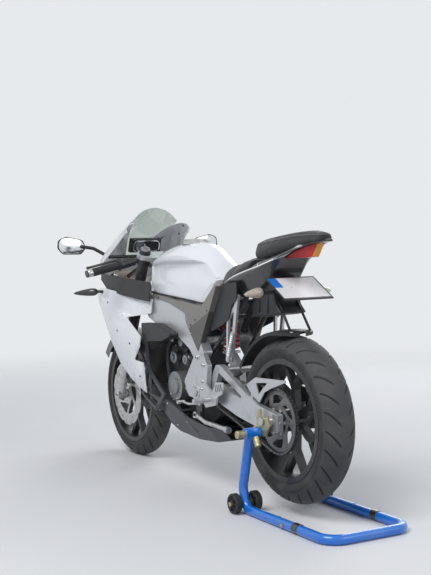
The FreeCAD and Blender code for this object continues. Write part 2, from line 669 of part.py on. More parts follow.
def build_swingarm():
    """Swingarm: beam and brace each side, joined ahead of the tyre, on its pivot shaft."""
    arm_outline = [(back(x), z) for x, z in (
        (556, 404), (540, 434), (440, 470), (402, 524), (370, 528), (290, 488), (187, 444),
        (96, 404), (-48, 382), (-48, 316), (60, 314), (236, 340), (385, 376), (500, 372), (548, 382),
    )]
    arm_window = [(back(x), z) for x, z in (
        (150, 398), (300, 432), (404, 450), (380, 496), (300, 462))]
    inner, outer = size("arm_inner"), size("arm_inner") + size("arm_wall")
    arms = [
        plate("arm_left", arm_outline, "Sizes.arm_wall", inner, 8, [arm_window]),
        plate("arm_right", arm_outline, "Sizes.arm_wall", -outer, 8, [arm_window]),
    ]
    bridge_low = rod("arm_bridge_low", "26", "2 * Sizes.arm_inner + 10",
                     Vector(back(400), -inner - 5, 418), LEFT)
    bridge_top = rod("arm_bridge_top", "16", "2 * Sizes.arm_inner + 10",
                     Vector(back(392), -inner - 5, 502), LEFT)
    link = plate("shock_bracket", [(back(x), z) for x, z in (
        (424, 424), (476, 552), (452, 562), (388, 508), (376, 424))], 30, -15, 6)
    welded = fused("arms_welded", arms + [bridge_low, bridge_top, link])
    axle_room = rod("axle_room", "Sizes.axle_radius + Sizes.bore_clearance",
                    "2 * Sizes.rear_axle_half", REAR_AXLE + RIGHT * size("rear_axle_half"), LEFT)
    shaft_room = rod("shaft_room", "Sizes.pivot_radius + Sizes.bore_clearance",
                     "2 * Sizes.rear_axle_half",
                     Vector(back(size("pivot_x")), -size("rear_axle_half"), size("pivot_z")), LEFT)
    node("swingarm", cut("swingarm", cut("arms_bored", welded, axle_room), shaft_room))
    plate_face = size("spar_inner") + size("spar_wall")
    shaft = rod("pivot_shaft", "Sizes.pivot_radius", str(2 * plate_face + 12),
                Vector(back(size("pivot_x")), -plate_face - 6, size("pivot_z")), LEFT)
    heads = [
        rod(f"pivot_nut_{tag}", "18", "8",
            Vector(back(size("pivot_x")), side * plate_face, size("pivot_z")), LEFT * side)
        for tag, side in (("left", 1), ("right", -1))
    ]
    pivot_shaft = fused("swingarm_pivot", [shaft, *heads])
    axle = rod("rear_axle_bar", "Sizes.axle_radius", "2 * Sizes.rear_axle_half",
               REAR_AXLE + RIGHT * size("rear_axle_half"), LEFT)
    nuts = [
        rod(f"rear_axle_nut_{tag}", "16", str(size("rear_axle_half") - outer),
            REAR_AXLE + LEFT * (side * outer), LEFT * side)
        for tag, side in (("left", 1), ("right", -1))
    ]
    hub_left = size("chain_y") + size("sprocket_plate") / 2 + size("seat_gap")
    hub_right = size("rear_disc_y") - size("disc_plate") / 2 - size("seat_gap")
    spacers = [
        rod("rear_spacer_left", "16", str(inner - hub_left), REAR_AXLE + LEFT * hub_left, LEFT),
        rod("rear_spacer_right", "16", str(inner + hub_right), REAR_AXLE + LEFT * hub_right, RIGHT),
    ]
    axle_shaft = fused("rear_axle_shaft", [axle, *nuts, *spacers])
    spools = []
    for tag, side in (("left", 1), ("right", -1)):
        at = Vector(back(size("spool_x")), side * outer, size("spool_z"))
        waist = rod(f"spool_waist_{tag}", "Sizes.spool_radius", "Sizes.spool_length", at, LEFT * side)
        cap = rod(f"spool_cap_{tag}", "Sizes.spool_radius + 6", "Sizes.spool_cap",
                  at + LEFT * (side * (size("spool_length") - size("spool_cap"))), LEFT * side)
        spools.append(fused(f"spool_{tag}", [waist, cap]))
    node("rear_shafts", together("rear_shafts", [pivot_shaft, axle_shaft, *spools]))


def build_shock():
    """Rear shock absorber: damper body and the red spring's coil about it."""
    low, high = Vector(back(470), 0, 548), Vector(back(474), 0, 706)
    span = high - low
    damper = tube("shock_damper", [low, high], 14)
    turns, coil_radius, wire, steps, sides = 6, 31.0, 5.5, 14, 6
    start = low + span * 0.16
    coil = span.Length * 0.68
    rings = []
    for i in range(turns * steps + 1):
        turn, rise = 2 * math.pi * i / steps, coil * i / (turns * steps)
        out = Vector(math.cos(turn), math.sin(turn), 0)
        rings.append(Part.makePolygon([
            out * (coil_radius + wire * math.cos(a)) + Vector(0, 0, rise + wire * math.sin(a))
            for a in (2 * math.pi * (k + 0.5) / sides for k in range(sides + 1))
        ]))
    spring = loft("shock_spring", rings, ruled=True)
    spring.Placement = Placement(start, Rotation(Vector(0, 0, 1), span))
    node("shock_spring", spring)
    span.normalize()
    seat_gap = wire + size("seat_gap")
    seats = [
        tube("spring_seat_low", [start - span * (seat_gap + 8), start - span * seat_gap],
             coil_radius + 6),
        tube("spring_seat_high", [start + span * (coil + seat_gap), start + span * (coil + seat_gap + 8)],
             coil_radius + 6),
    ]
    body = fused("shock_solid", [damper, *seats])
    clear = cut("shock_clear_of_arm", body, NODES["swingarm"])
    node("shock_body", cut("shock_body", clear, PIECES["seat_subframe"]))


# Bodywork

# Stations of the tank: x, half and z of foot, flank and shoulder, z of the crown
TANK = (
    (432, 84, 842, 90, 851, 84, 859, 866),
    (476, 90, 806, 93, 846, 84, 876, 898),
    (522, 96, 766, 92, 842, 84, 900, 942),
    (600, 106, 771, 96, 858, 86, 936, 998),
    (668, 114, 777, 101, 868, 108, 957, 1013),
    (760, 120, 784, 112, 872, 123, 957, 1015),
    (850, 124, 790, 118, 870, 127, 946, 1006),
    (925, 122, 796, 118, 866, 123, 930, 986),
    (972, 112, 800, 113, 862, 112, 908, 956),
)

# Stations of the tail: the same columns
TAIL = (
    (356, 80, 828, 102, 846, 94, 856, 861),
    (290, 84, 818, 104, 868, 97, 882, 888),
    (218, 82, 800, 106, 884, 95, 904, 911),
    (84, 74, 862, 98, 922, 84, 944, 952),
    (-25, 66, 950, 90, 958, 78, 972, 980),
    (-120, 58, 984, 77, 988, 65, 999, 1005),
    (-262, 42, 1012, 52, 1015, 42, 1021, 1025),
)

# Stations of the rider's seat and of the pillion pad: the same columns
RIDER_SEAT = (
    (429, 52, 812, 66, 844, 44, 874, 892),
    (362, 84, 842, 98, 856, 68, 898, 912),
    (284, 92, 862, 108, 882, 86, 912, 923),
    (215, 94, 884, 109, 908, 91, 931, 940),
    (156, 88, 908, 103, 928, 86, 943, 951),
)
PILLION = (
    (146, 76, 946, 86, 966, 72, 1006, 1014),
    (60, 80, 960, 91, 984, 75, 1018, 1027),
    (-100, 62, 988, 77, 1008, 61, 1036, 1044),
    (-240, 34, 1014, 53, 1026, 39, 1042, 1048),
)

# Stations of the nose: x from the front axle, then the same columns
NOSE = (
    (-238, 160, 1058, 166, 1078, 150, 1098, 1114),
    (-168, 168, 1016, 168, 1046, 140, 1082, 1100),
    (-105, 184, 964, 182, 1000, 146, 1050, 1072),
    (0, 186, 889, 190, 920, 130, 972, 996),
    (60, 142, 836, 154, 872, 100, 908, 922),
    (92, 104, 815, 118, 846, 76, 874, 886),
)
LAMP = (
    (92.3, 104, 815, 118, 846, 76, 874, 886),
    (122, 66, 806, 80, 834, 52, 852, 860),
    (146, 22, 808, 32, 824, 20, 836, 840),
)


def arched_loft(name, stations, place):
    """Loft of arched rings, their stations placed by back or fore."""
    return loft(name, [arched_ring(place(row[0]), *row[1:]) for row in stations])


def thinner(stations, wall):
    """The same stations moved inwards by a wall, longer at both ends."""
    inner = []
    last = len(stations) - 1
    for i, (x, low, low_z, mid, mid_z, top, shoulder_z, crown_z) in enumerate(stations):
        grow = {0: stations[0][0] - stations[1][0], last: stations[-1][0] - stations[-2][0]}.get(i, 0)
        x += math.copysign(1.0, grow) if grow else 0.0
        inner.append((x, low - wall, low_z - 1.0, mid - wall, mid_z,
                      top - wall, shoulder_z - wall / 2, crown_z - wall))
    return inner


def build_tank():
    """Fuel tank with a filler well, its ring and a hinged cap."""
    shell = arched_loft("tank_shell", TANK, back)
    centre = Vector(back(size("filler_x")), 0, size("filler_z"))
    well = rod("filler_well", "Sizes.cap_radius + 12", "40", centre, Vector(0, 0, 1))
    welled = cut("tank_welled", shell, well)
    over_frame = cut("tank_over_frame", welled, NODES["main_frame"])
    node("fuel_tank", cut("fuel_tank", over_frame, PIECES["seat_subframe"]))
    up = Vector(0, 0, 1)
    deep = 14.0
    ring = rod("filler_flange", "Sizes.cap_radius + 11.7", str(deep), centre, up)
    mouth = rod("filler_mouth", "Sizes.cap_radius - 8", str(deep), centre, up)
    collar = cut("filler_collar", ring, mouth)
    top = centre.z + deep
    gap = size("steer_clearance")
    hinge = Vector(centre.x + size("cap_radius") + 7, 0, top + gap + size("cap_plate") / 2)
    ears = [
        block(f"cap_ear_{tag}", (8, 6, size("cap_plate") + 3),
              Vector(hinge.x - 4, side * 12 - 3, top))
        for tag, side in (("left", 1), ("right", -1))
    ]
    pin = rod("cap_pin", "2", "30", hinge + RIGHT * 15, LEFT)
    node("filler_ring", fused("filler_ring", [collar, *ears, pin]))
    lid = rod("cap_lid", "Sizes.cap_radius", "Sizes.cap_plate",
              Vector(centre.x, 0, top + gap), up)
    tongue = block("cap_tongue", (12.5, 14, "Sizes.cap_plate"),
                   Vector(hinge.x - 12.5, -7, top + gap))
    knuckle = rod("cap_knuckle", "Sizes.cap_plate / 2", "14", hinge + RIGHT * 7, LEFT)
    plug = rod("cap_plug", "Sizes.cap_radius - 12", "9", Vector(centre.x, 0, top + gap - 8), up)
    pin_room = rod("cap_pin_room", "2 + Sizes.bore_clearance", "30", hinge + RIGHT * 15, LEFT)
    solid = fused("cap_solid", [lid, tongue, knuckle, plug])
    node("fuel_cap", cut("fuel_cap", solid, pin_room))


def build_seats():
    """Rider's seat, pillion pad and the tail that carries them."""
    rails = PIECES["seat_subframe"]
    tail = arched_loft("tail_shell", TAIL, back)
    cowl = cut("tail_cowl", tail, rails)
    rider = arched_loft("rider_pad", RIDER_SEAT, back)
    node("rider_seat", cut("rider_seat", rider, cowl))
    pillion = arched_loft("pillion_pad", PILLION, back)
    lifted = cut("pillion_over_tail", pillion, cowl)
    node("pillion_seat", cut("pillion_seat", lifted, NODES["rider_seat"]))
    outline = [(back(x), z) for x, z in (
        (330, 852), (396, 733), (440, 652), (335, 688), (284, 718), (262, 768), (222, 800),
        (222, 860),
    )]
    arm_face = size("pillion_arm_y") + size("pillion_arm_wall")
    skin = plate("tail_skin", outline, "Sizes.panel_wall", arm_face + size("seat_gap"), 10)
    boss = rod("tail_boss", "8", "40", Vector(back(322), 76, 806), LEFT)
    side_skin = cut("tail_panel", fused("tail_skin_bossed", [skin, boss]), rails)
    node("tail_fairing", together("tail_fairing", [
        cowl, side_skin, mirrored("tail_panel_right", side_skin)]))


def teardrop(name, start, end, radius):
    """Round lamp along a line: full near its root, pointed at its end."""
    along = end - start
    rings = [
        Part.Wire([Part.makeCircle(radius * grow, start + along * far, along)])
        for far, grow in ((0, 0.5), (0.1, 0.9), (0.28, 1.0), (0.62, 0.74), (1, 0.2))
    ]
    return loft(name, rings)


def build_tail_fittings():
    """Underside block, lamp, plate hanger, plate, indicators and seat stays."""
    under = [(back(x), z) for x, z in (
        (214, 706), (206, 796), (120, 862), (62, 862), (40, 752), (-6, 690),
    )]
    tray = plate("underside_tray", under, 116, -58, 10)
    under_tray = cut("tail_underside", tray, NODES["tail_fairing"])
    wedge = [(back(x), z) for x, z in (
        (32, 950), (-76, 982), (-238, 1009), (-222, 984), (-202, 958), (-124, 956),
    )]
    lamp = plate("lamp_wedge", wedge, 100, -50, 2)
    lamp_post = rod("lamp_post", "9", "20", Vector(back(-150), 0, 976), Vector(0, 0, 1))
    node("tail_lamp", cut("tail_lamp", fused("lamp_solid", [lamp, lamp_post]), NODES["tail_fairing"]))
    across = Vector(-math.cos(math.radians(30)), 0, -math.sin(math.radians(30)))
    top = Vector(back(33), 0, 878)
    normal = Vector(-0.5, 0, 0.866)
    wide, tall, thick = size("plate_wide"), size("plate_tall"), 2.0
    corners = [
        top + LEFT * (side * wide / 2) + across * down
        for side, down in ((1, 0), (-1, 0), (-1, tall), (1, tall))
    ]
    face = Part.Face(Part.makePolygon(corners + corners[:1]))
    node("number_plate", feature("number_plate", face.extrude(normal * thick)))
    under_plate = [p - normal * (4 + 0.01) for p in (
        top + LEFT * 60 + across * 10, top + RIGHT * 60 + across * 10,
        top + RIGHT * 60 + across * 120, top + LEFT * 60 + across * 120)]
    backing = feature("plate_backing", Part.Face(
        Part.makePolygon(under_plate + under_plate[:1])).extrude(normal * 4))
    post = tube("hanger_post", [Vector(back(64), 0, 800), under_plate[0] * 0.5 + under_plate[1] * 0.5
                                + across * 20], 14)
    bar = rod("indicator_bar", "7", "220", Vector(back(44), -110, 826), LEFT)
    hanger = fused("hanger_solid", [backing, post, bar])
    clear_hanger = cut("plate_hanger_clear", hanger, under_tray)
    node("plate_hanger", together("plate_hanger", [under_tray, clear_hanger]))
    PIECES["rear_indicator"] = teardrop(
        "rear_indicator_left", Vector(back(44), 110.9, 828), Vector(back(40), 194, 822), 20)


def build_nose():
    """Nose shell with headlamp, windscreen, cockpit sides, instruments and stay."""
    outer = arched_loft("nose_outer", NOSE, fore)
    inner = arched_loft("nose_inner", thinner(NOSE, size("panel_wall")), fore)
    shell = cut("nose_shell", outer, inner)
    opening = [Vector(fore(x), y, 880) for x, y in ((-250, 124), (40, 40), (40, -40), (-250, -124))]
    prism = feature("screen_opening", Part.Face(
        Part.makePolygon(opening + opening[:1])).extrude(Vector(0, 0, 300)))
    node("nose_fairing", cut("nose_fairing", shell, prism))
    node("headlamp", arched_loft("headlamp", LAMP, fore))
    rings = []
    # Windscreen stations: x from the front axle, half width, z at the edge, z at the crown
    for x, half, edge_z, crown_z in (
        (44, 44, 940, 956), (-30, 92, 1000, 1030), (-110, 116, 1062, 1102), (-206, 112, 1112, 1172),
    ):
        wall = size("screen_wall")
        out = Part.Arc(Vector(fore(x), half, edge_z), Vector(fore(x), 0, crown_z),
                       Vector(fore(x), -half, edge_z))
        back_arc = Part.Arc(Vector(fore(x), -half + wall, edge_z), Vector(fore(x), 0, crown_z - wall),
                            Vector(fore(x), half - wall, edge_z))
        edges = [out.toShape(), Part.makeLine(Vector(fore(x), -half, edge_z),
                                              Vector(fore(x), -half + wall, edge_z)),
                 back_arc.toShape(), Part.makeLine(Vector(fore(x), half - wall, edge_z),
                                                   Vector(fore(x), half, edge_z))]
        rings.append(Part.Wire(edges))
    screen = loft("windscreen_pane", rings)
    node("windscreen", cut("windscreen", screen, NODES["nose_fairing"]))
    # Cockpit side: x from the front axle, y and z above, y and z below
    stations = [
        (fore(x), ((y_top, z_top), (y_low, z_low))) for x, y_top, z_top, y_low, z_low in (
            (20, 176, 872, 178, 842), (-80, 186, 866, 190, 796), (-250, 180, 856, 186, 776),
            (-355, 168, 850, 176, 766), (-462, 158, 842, 166, 758),
        )
    ]
    side = cut("cockpit_side_fitted", panel("cockpit_side", stations, size("panel_wall")),
               NODES["side_fairings"])
    fitted = cut("cockpit_side_clear", side, NODES["nose_fairing"])
    left_and_right = [fitted, mirrored("cockpit_side_right", fitted)]
    dash = [(fore(x), z) for x, z in ((-96, 966), (-64, 972), (-88, 1036), (-120, 1028))]
    clocks = plate("instruments", dash, 150, -75, 6)
    node("cockpit_panels", together("cockpit_panels", [*left_and_right, clocks]))
    stay = tube("stay_tube", [
        on_fork(-size("fork_offset") + size("head_radius") - 6, 0, 640),
        Vector(fore(-170), 0, 902), Vector(fore(-90), 0, 914), Vector(fore(93), 0, 850),
    ], 10, 30)
    riser = tube("stay_riser", [Vector(fore(-84), 0, 905), Vector(fore(-84), 0, 966)], 9)
    arm = rod("stay_arm", "8", "340", Vector(fore(-60), -170, 948), LEFT)
    link = tube("stay_link", [Vector(fore(-84), 0, 944), Vector(fore(-60), 0, 948)], 8)
    whole = fused("stay_solid", [stay, riser, arm, link])
    clear = cut("stay_clear_of_head", whole, NODES["main_frame"])
    clear = cut("stay_clear_of_dash", clear, NODES["cockpit_panels"])
    clear = cut("stay_clear_of_lamp", clear, NODES["headlamp"])
    PIECES["fairing_stay"] = cut("fairing_stay", clear, NODES["nose_fairing"])


def build_side_fairings():
    """Side fairings, grey side covers, belly pan and its struts."""
    stations = [
        (fore(x), line) for x, line in (
            (30, ((188, 798), (192, 774), (186, 732))),
            (-60, ((200, 806), (210, 760), (200, 660))),
            (-126, ((198, 800), (214, 700), (198, 566))),
            (-224, ((190, 786), (216, 640), (196, 468))),
            (-330, ((184, 774), (214, 600), (192, 408))),
            (-398, ((180, 770), (208, 580), (188, 380))),
            (-455, ((178, 768), (204, 570), (184, 362))),
        )
    ]
    skin = panel("side_skin", stations, size("panel_wall"))
    notch_outline = [(fore(x), z) for x, z in (
        (-300, 684), (-440, 606), (-437, 564), (-374, 500), (-452, 494), (-520, 490),
        (-520, 712), (-454, 706),
    )]
    notch = plate("duct_notch", notch_outline, 80, 150, 4)
    spar_face = size("spar_inner") + size("spar_wall")
    boss = rod("fairing_boss", "9", "48", Vector(fore(-425), spar_face, 738), LEFT)
    both_sides("side_fairings", fused("side_panel", [cut("skin_notched", skin, notch), boss]))
    duct = [(back(x), z) for x, z in ((940, 664), (805, 668), (650, 630), (742, 598), (925, 584))]
    cover = [(back(x), z) for x, z in (
        (896, 790), (520, 757), (470, 755), (356, 848), (345, 842), (406, 735), (500, 570),
        (600, 684), (610, 722), (746, 756), (894, 774),
    )]
    side_cover = plate("side_cover", cover, 26, 114, 5)
    air_duct = plate("air_duct", duct, 44, spar_face, 8)
    over_frame = cut("side_cover_over_frame", side_cover, NODES["main_frame"])
    fitted = cut("side_cover_fitted", over_frame, NODES["tail_fairing"])
    both_sides("side_covers", together("side_cover_set", [fitted, air_duct]))
    pan_rows = (
        (975, 140, 350, 70, 300), (860, 150, 345, 84, 226), (770, 148, 342, 88, 204),
        (600, 134, 284, 84, 192), (456, 120, 264, 76, 200), (368, 105, 268, 67, 219),
    )
    pan_stations = [
        (back(x), ((top, top_z), (low, low_z), (-low, low_z), (-top, top_z)))
        for x, top, top_z, low, low_z in pan_rows
    ]
    pan = panel("pan_shell", pan_stations, size("panel_wall"))
    outer_v = [(back(x), z) for x, z in ((946, 482), (768, 366), (858, 286), (992, 344))]
    inner_v = [(back(x), z) for x, z in ((928, 448), (796, 362), (862, 304), (970, 346))]
    strut = plate("pan_strut", outer_v, 9, 150, 4, [inner_v])
    struts = [strut, mirrored("pan_strut_right", strut)]
    struts += [
        rod(f"pan_mount_{tag}", "8", "60", Vector(back(700), side * (size("engine_half") - 2), 300),
            LEFT * side)
        for tag, side in (("left", 1), ("right", -1))
    ]
    node("belly_pan", cut("belly_pan", fused("pan_solid", [pan, *struts]), NODES["engine_block"]))


def build_fittings():
    """Mirrors, indicators, foot controls, pegs, chain guard and mudguards."""
    stalk = tube("mirror_stalk", [
        Vector(fore(-46), 185, 960), Vector(fore(-44), 240, 990), Vector(fore(-50), 306, 1000),
    ], 8, 30)
    head_ring = []
    for x, grow in ((-48, 1.0), (-32, 0.94), (-18, 0.6)):
        corners = [Vector(fore(x), 354 + grow * dy, 1003 + grow * dz) for dy, dz in (
            (-76, -12), (-50, -40), (40, -38), (64, -10), (60, 30), (20, 44), (-60, 26))]
        head_ring.append(ring_of(rounded(corners, 22 * grow)))
    mirror_head = loft("mirror_head", head_ring, ruled=True)
    mirror = cut("mirror_on_nose", fused("mirror", [stalk, mirror_head]), NODES["nose_fairing"])
    both_sides("mirrors", mirror)
    signal = fused("front_signal", [
        tube("signal_stalk", [Vector(fore(-62), 204.5, 789), Vector(fore(-34), 226, 789)], 6),
        teardrop("signal_body", Vector(fore(-38), 222, 789), Vector(fore(34), 312, 781), 18),
    ])
    trimmed_signal = cut("front_signal_fitted", signal, NODES["side_fairings"])
    both_sides("indicators", together("indicator_set", [trimmed_signal, PIECES["rear_indicator"]]))
    guard = [(back(x), z) for x, z in (
        (190, 468), (120, 503), (-84, 512), (-84, 504), (20, 470), (60, 452), (96, 410), (150, 436),
    )]
    guard_window = [(back(x), z) for x, z in ((118, 482), (30, 492), (68, 468), (98, 440))]
    guard_plate = plate("guard_plate", guard, 5, 98, 4, [guard_window])
    guard_foot = rod("guard_foot", "9", "13", Vector(back(146), 90, 432), LEFT)
    node("chain_guard", cut("chain_guard", fused("guard_solid", [guard_plate, guard_foot]),
                            NODES["swingarm"]))
    inside = size("rear_tyre_radius") + size("fender_gap")
    wall = size("fender_wall")
    half = size("rear_tyre_half") + 8
    hugger = arc_band("hugger_shell", (
        (inside - 30, half), (inside, half), (inside + wall, 0), (inside, -half), (inside - 30, -half),
        (inside - 30, -half + wall), (inside - wall, -half + wall), (inside, 0),
        (inside - wall, half - wall), (inside - 30, half - wall),
    ), REAR_AXLE, 32, 67)
    stays = [
        tube(f"hugger_stay_{tag}", [Vector(back(62), s * 40, 812), Vector(back(-40), s * 44, 674)], 5)
        for tag, s in (("left", 1), ("right", -1))
    ]
    mounts = [
        tube(f"hugger_mount_{tag}", [
            Vector(back(268), s * 73, 508), Vector(back(304), s * 98, 476)], 9)
        for tag, s in (("left", 1), ("right", -1))
    ]
    whole = fused("hugger_solid", [hugger, *stays, *mounts])
    trimmed = cut("hugger_clear", whole, NODES["swingarm"])
    node("hugger", cut("hugger", trimmed, NODES["plate_hanger"]))
    face = size("spar_inner") + size("spar_wall")
    hanger = [(back(x), z) for x, z in (
        (484, 430), (440, 450), (344, 404), (350, 372), (432, 352), (476, 384))]
    heel = [(back(x), z) for x, z in (
        (382, 420), (356, 462), (288, 468), (304, 420), (352, 400))]
    hanger_plate = plate("hanger_plate", hanger, 8, face, 8)
    heel_plate = plate("heel_plate", heel, 4, face + 2, 8)
    peg = rod("rider_peg", "9", "82", Vector(back(400), face, 388), LEFT)
    foot = fused("foot_hanger", [hanger_plate, heel_plate, peg])
    lever = tube("gear_lever", [
        Vector(back(462), face + 14, 366), Vector(back(560), face + 16, 352),
        Vector(back(610), face + 18, 356)], 5, 20)
    toe = rod("gear_toe", "7", "34", Vector(back(606), face + 12, 356), LEFT)
    lever_boss = rod("gear_boss", "9", "12", Vector(back(466), face + 8.0, 366), LEFT)
    both_sides("foot_levers", cut("foot_lever", fused("foot_lever_solid", [lever, toe, lever_boss]),
                                  foot))
    arm_outline = [(back(x), z) for x, z in (
        (218, 812), (238, 812), (252, 766), (294, 736), (308, 738), (318, 566), (304, 546),
        (280, 546), (270, 570))]
    arm_window = [(back(x), z) for x, z in ((252, 748), (296, 716), (306, 578), (284, 578))]
    arm = plate("pillion_arm", arm_outline, "Sizes.pillion_arm_wall", size("pillion_arm_y"), 3,
                [arm_window])
    pillion_peg = tube("pillion_peg", [
        Vector(back(292), size("pillion_arm_y") + 17, 558), Vector(back(244), 124, 666)], 9)
    peg_eye = rod("pillion_peg_eye", "12", "20", Vector(back(292), size("pillion_arm_y"), 558), LEFT)
    pillion_hanger = fused("pillion_hanger", [arm, pillion_peg, peg_eye])
    both_sides("foot_hangers", together("foot_hanger_set", [foot, pillion_hanger]))


# Front end, on the steering

def fork_plate(name, outline, thickness, low, corner):
    """Plate square to the fork: outline of (ahead, y), from low along the fork."""
    body = doc.addObject("PartDesign::Body", name)
    sketch = body.newObject("Sketcher::SketchObject", name + "_outline")
    flat = next(p for p in body.Origin.OriginFeatures if p.Role == "XY_Plane")
    sketch.AttachmentSupport = [(flat, "")]
    sketch.MapMode = "FlatFace"
    for edge in rounded([Vector(a, y, 0) for a, y in outline], corner):
        sketch.addGeometry(edge)
    pad = body.newObject("PartDesign::Pad", name + "_pad")
    pad.Profile = sketch
    pad.setExpression("Length", str(thickness))
    body.Placement = Placement(on_fork(0, 0, low), FORK_FRAME.Rotation)
    return body


def build_fork():
    """Fork legs, yokes with stem, axle and front mudguard."""
    spread, offset = size("fork_spread"), size("fork_offset")
    split, top = size("fork_split"), size("fork_top")
    legs, uppers = [], []
    for tag, side in (("left", 1), ("right", -1)):
        y = side * spread
        slider = rod(f"slider_{tag}", "Sizes.fork_inner_radius", str(split - 10),
                     on_fork(0, y, 10), FORK_UP)
        lug = rod(f"axle_lug_{tag}", "24", "42", FRONT_AXLE + LEFT * (y - 21), LEFT)
        legs.append(fused(f"fork_leg_{tag}", [slider, lug]))
        upper = rod(f"outer_tube_{tag}", "Sizes.fork_outer_radius", str(top - split),
                    on_fork(0, y, split), FORK_UP)
        cap = rod(f"fork_cap_{tag}", "Sizes.fork_outer_radius - 6", "9",
                  on_fork(0, y, top), FORK_UP)
        uppers.append(fused(f"fork_tube_{tag}", [upper, cap]))
    axle_room = rod("front_axle_room", "Sizes.axle_radius + Sizes.bore_clearance",
                    "2 * Sizes.front_axle_half", FRONT_AXLE + RIGHT * size("front_axle_half"), LEFT)
    node("fork_lowers", cut("fork_lowers", together("fork_leg_pair", legs), axle_room))
    node("fork_tubes", together("fork_tubes", uppers))
    axle = rod("front_axle_bar", "Sizes.axle_radius", "2 * Sizes.front_axle_half",
               FRONT_AXLE + RIGHT * size("front_axle_half"), LEFT)
    hub_end = size("front_disc_y") + size("disc_plate") / 2 + size("seat_gap")
    lug_face = spread - 21
    spacer_left = rod("front_spacer_left", "15", str(lug_face - hub_end),
                      FRONT_AXLE + LEFT * hub_end, LEFT)
    hub_right = size("front_disc_y") - size("disc_plate") / 2 + size("seat_gap")
    spacer_right = rod("front_spacer_right", "15", str(lug_face - hub_right),
                       FRONT_AXLE + RIGHT * hub_right, RIGHT)
    solid = fused("front_axle_solid", [axle, spacer_left, spacer_right])
    bore = rod("front_axle_bore", "Sizes.axle_bore_radius", "2 * Sizes.front_axle_half",
               FRONT_AXLE + RIGHT * size("front_axle_half"), LEFT)
    node("front_axle", cut("front_axle", solid, bore))
    reach, clamp = spread, 34
    top_outline = (
        (-offset - 30, 30), (-offset - 30, -30), (-clamp - 4, -reach), (-24, -reach - 28),
        (0, -reach - clamp - 4), (24, -reach - 26), (clamp, -reach), (22, -44), (22, 44),
        (clamp, reach), (24, reach + 26), (0, reach + clamp + 4), (-24, reach + 28),
        (-clamp - 4, reach),
    )
    yokes = [
        fork_plate("top_yoke", top_outline, "Sizes.yoke_plate",
                   size("head_high") + size("steer_clearance"), 12),
        fork_plate("bottom_yoke", top_outline, "Sizes.lower_yoke",
                   size("head_low") - size("lower_yoke") - size("steer_clearance"), 12),
    ]
    stem_low = size("head_low") - size("lower_yoke")
    stem = rod("steering_stem", "Sizes.stem_radius", str(size("head_high") - stem_low + 34),
               on_fork(-offset, 0, stem_low), FORK_UP)
    nut = rod("stem_nut", "15", "10",
              on_fork(-offset, 0, size("head_high") + size("yoke_plate")), FORK_UP)
    solid_yokes = fused("yoke_solid", [*yokes, stem, nut])
    PIECES["yokes"] = cut("yokes", solid_yokes, NODES["fork_tubes"])
    inside = size("front_tyre_radius") + size("fender_gap")
    wall, half = size("fender_wall"), size("front_tyre_half") + 9
    skirt = 40
    shell = arc_band("fender_shell", (
        (inside - skirt, half), (inside, half), (inside + wall, 0), (inside, -half),
        (inside - skirt, -half), (inside - skirt, -half + wall), (inside - wall, -half + wall),
        (inside, 0), (inside - wall, half - wall), (inside - skirt, half - wall),
    ), FRONT_AXLE, 34, 112)
    brackets = [
        block(f"fender_bracket_{tag}", (40, spread - half - 10, 46),
              on_fork(-20, half - 1 if side > 0 else -(spread - 11), 236),
              FORK_FRAME.Rotation)
        for tag, side in (("left", 1), ("right", -1))
    ]
    fender = fused("fender_solid", [shell, *brackets])
    fender_clear = cut("fender_clear", fender, NODES["fork_lowers"])
    node("front_fender", cut("front_fender", fender_clear, NODES["fork_tubes"]))


def build_bars():
    """Clip-on bars with grips, levers, switches and the bar-end weights."""
    bars, grips, controls = [], [], []
    for tag, side in (("left", 1), ("right", -1)):
        inner = on_fork(0, side * size("fork_spread"), size("head_high") - 24)
        root = Vector(fore(-272), side * 122, 934)
        end = Vector(fore(-276), side * 376, 880)
        along = (end - root).normalize()
        clamp = rod(f"bar_clamp_{tag}", "Sizes.fork_outer_radius + 7", "22", inner, FORK_UP)
        bars.append(fused(f"bar_{tag}", [
            clamp, tube(f"bar_tube_{tag}", [root - along * 14, end - along * 26], size("bar_radius")),
            tube(f"bar_weight_{tag}", [end - along * 28, end], size("grip_radius") - 1),
        ]))
        grips.append(tube(f"grip_{tag}", [root + along * 96, end - along * 29], size("grip_radius")))
        switch = tube(f"switch_box_{tag}", [root + along * 46, root + along * 94],
                      size("grip_radius") + 3)
        perch = root + along * 34
        ahead = (FORK_AHEAD - along * FORK_AHEAD.dot(along)).normalize()
        controls.append(fused(f"controls_{tag}", [
            switch,
            tube(f"perch_{tag}", [perch, perch + ahead * 34], 8.5),
            tube(f"perch_clamp_{tag}", [perch - along * 12, perch + along * 14],
                 size("grip_radius") + 1),
            tube(f"lever_{tag}", [perch + ahead * 24, perch + ahead * 52 + along * 40,
                                  perch + ahead * 50 + along * 190], 5.5, 30),
        ]))
    held = cut("bars_on_tubes", together("bar_pair", bars), NODES["fork_tubes"])
    clip_ons = cut("clip_ons", held, PIECES["yokes"])
    node("handlebars", together("handlebars", [PIECES["yokes"], clip_ons]))
    node("grips", cut("grips", together("grip_pair", grips), clip_ons))
    node("bar_controls", cut("bar_controls", together("control_pair", controls), clip_ons))


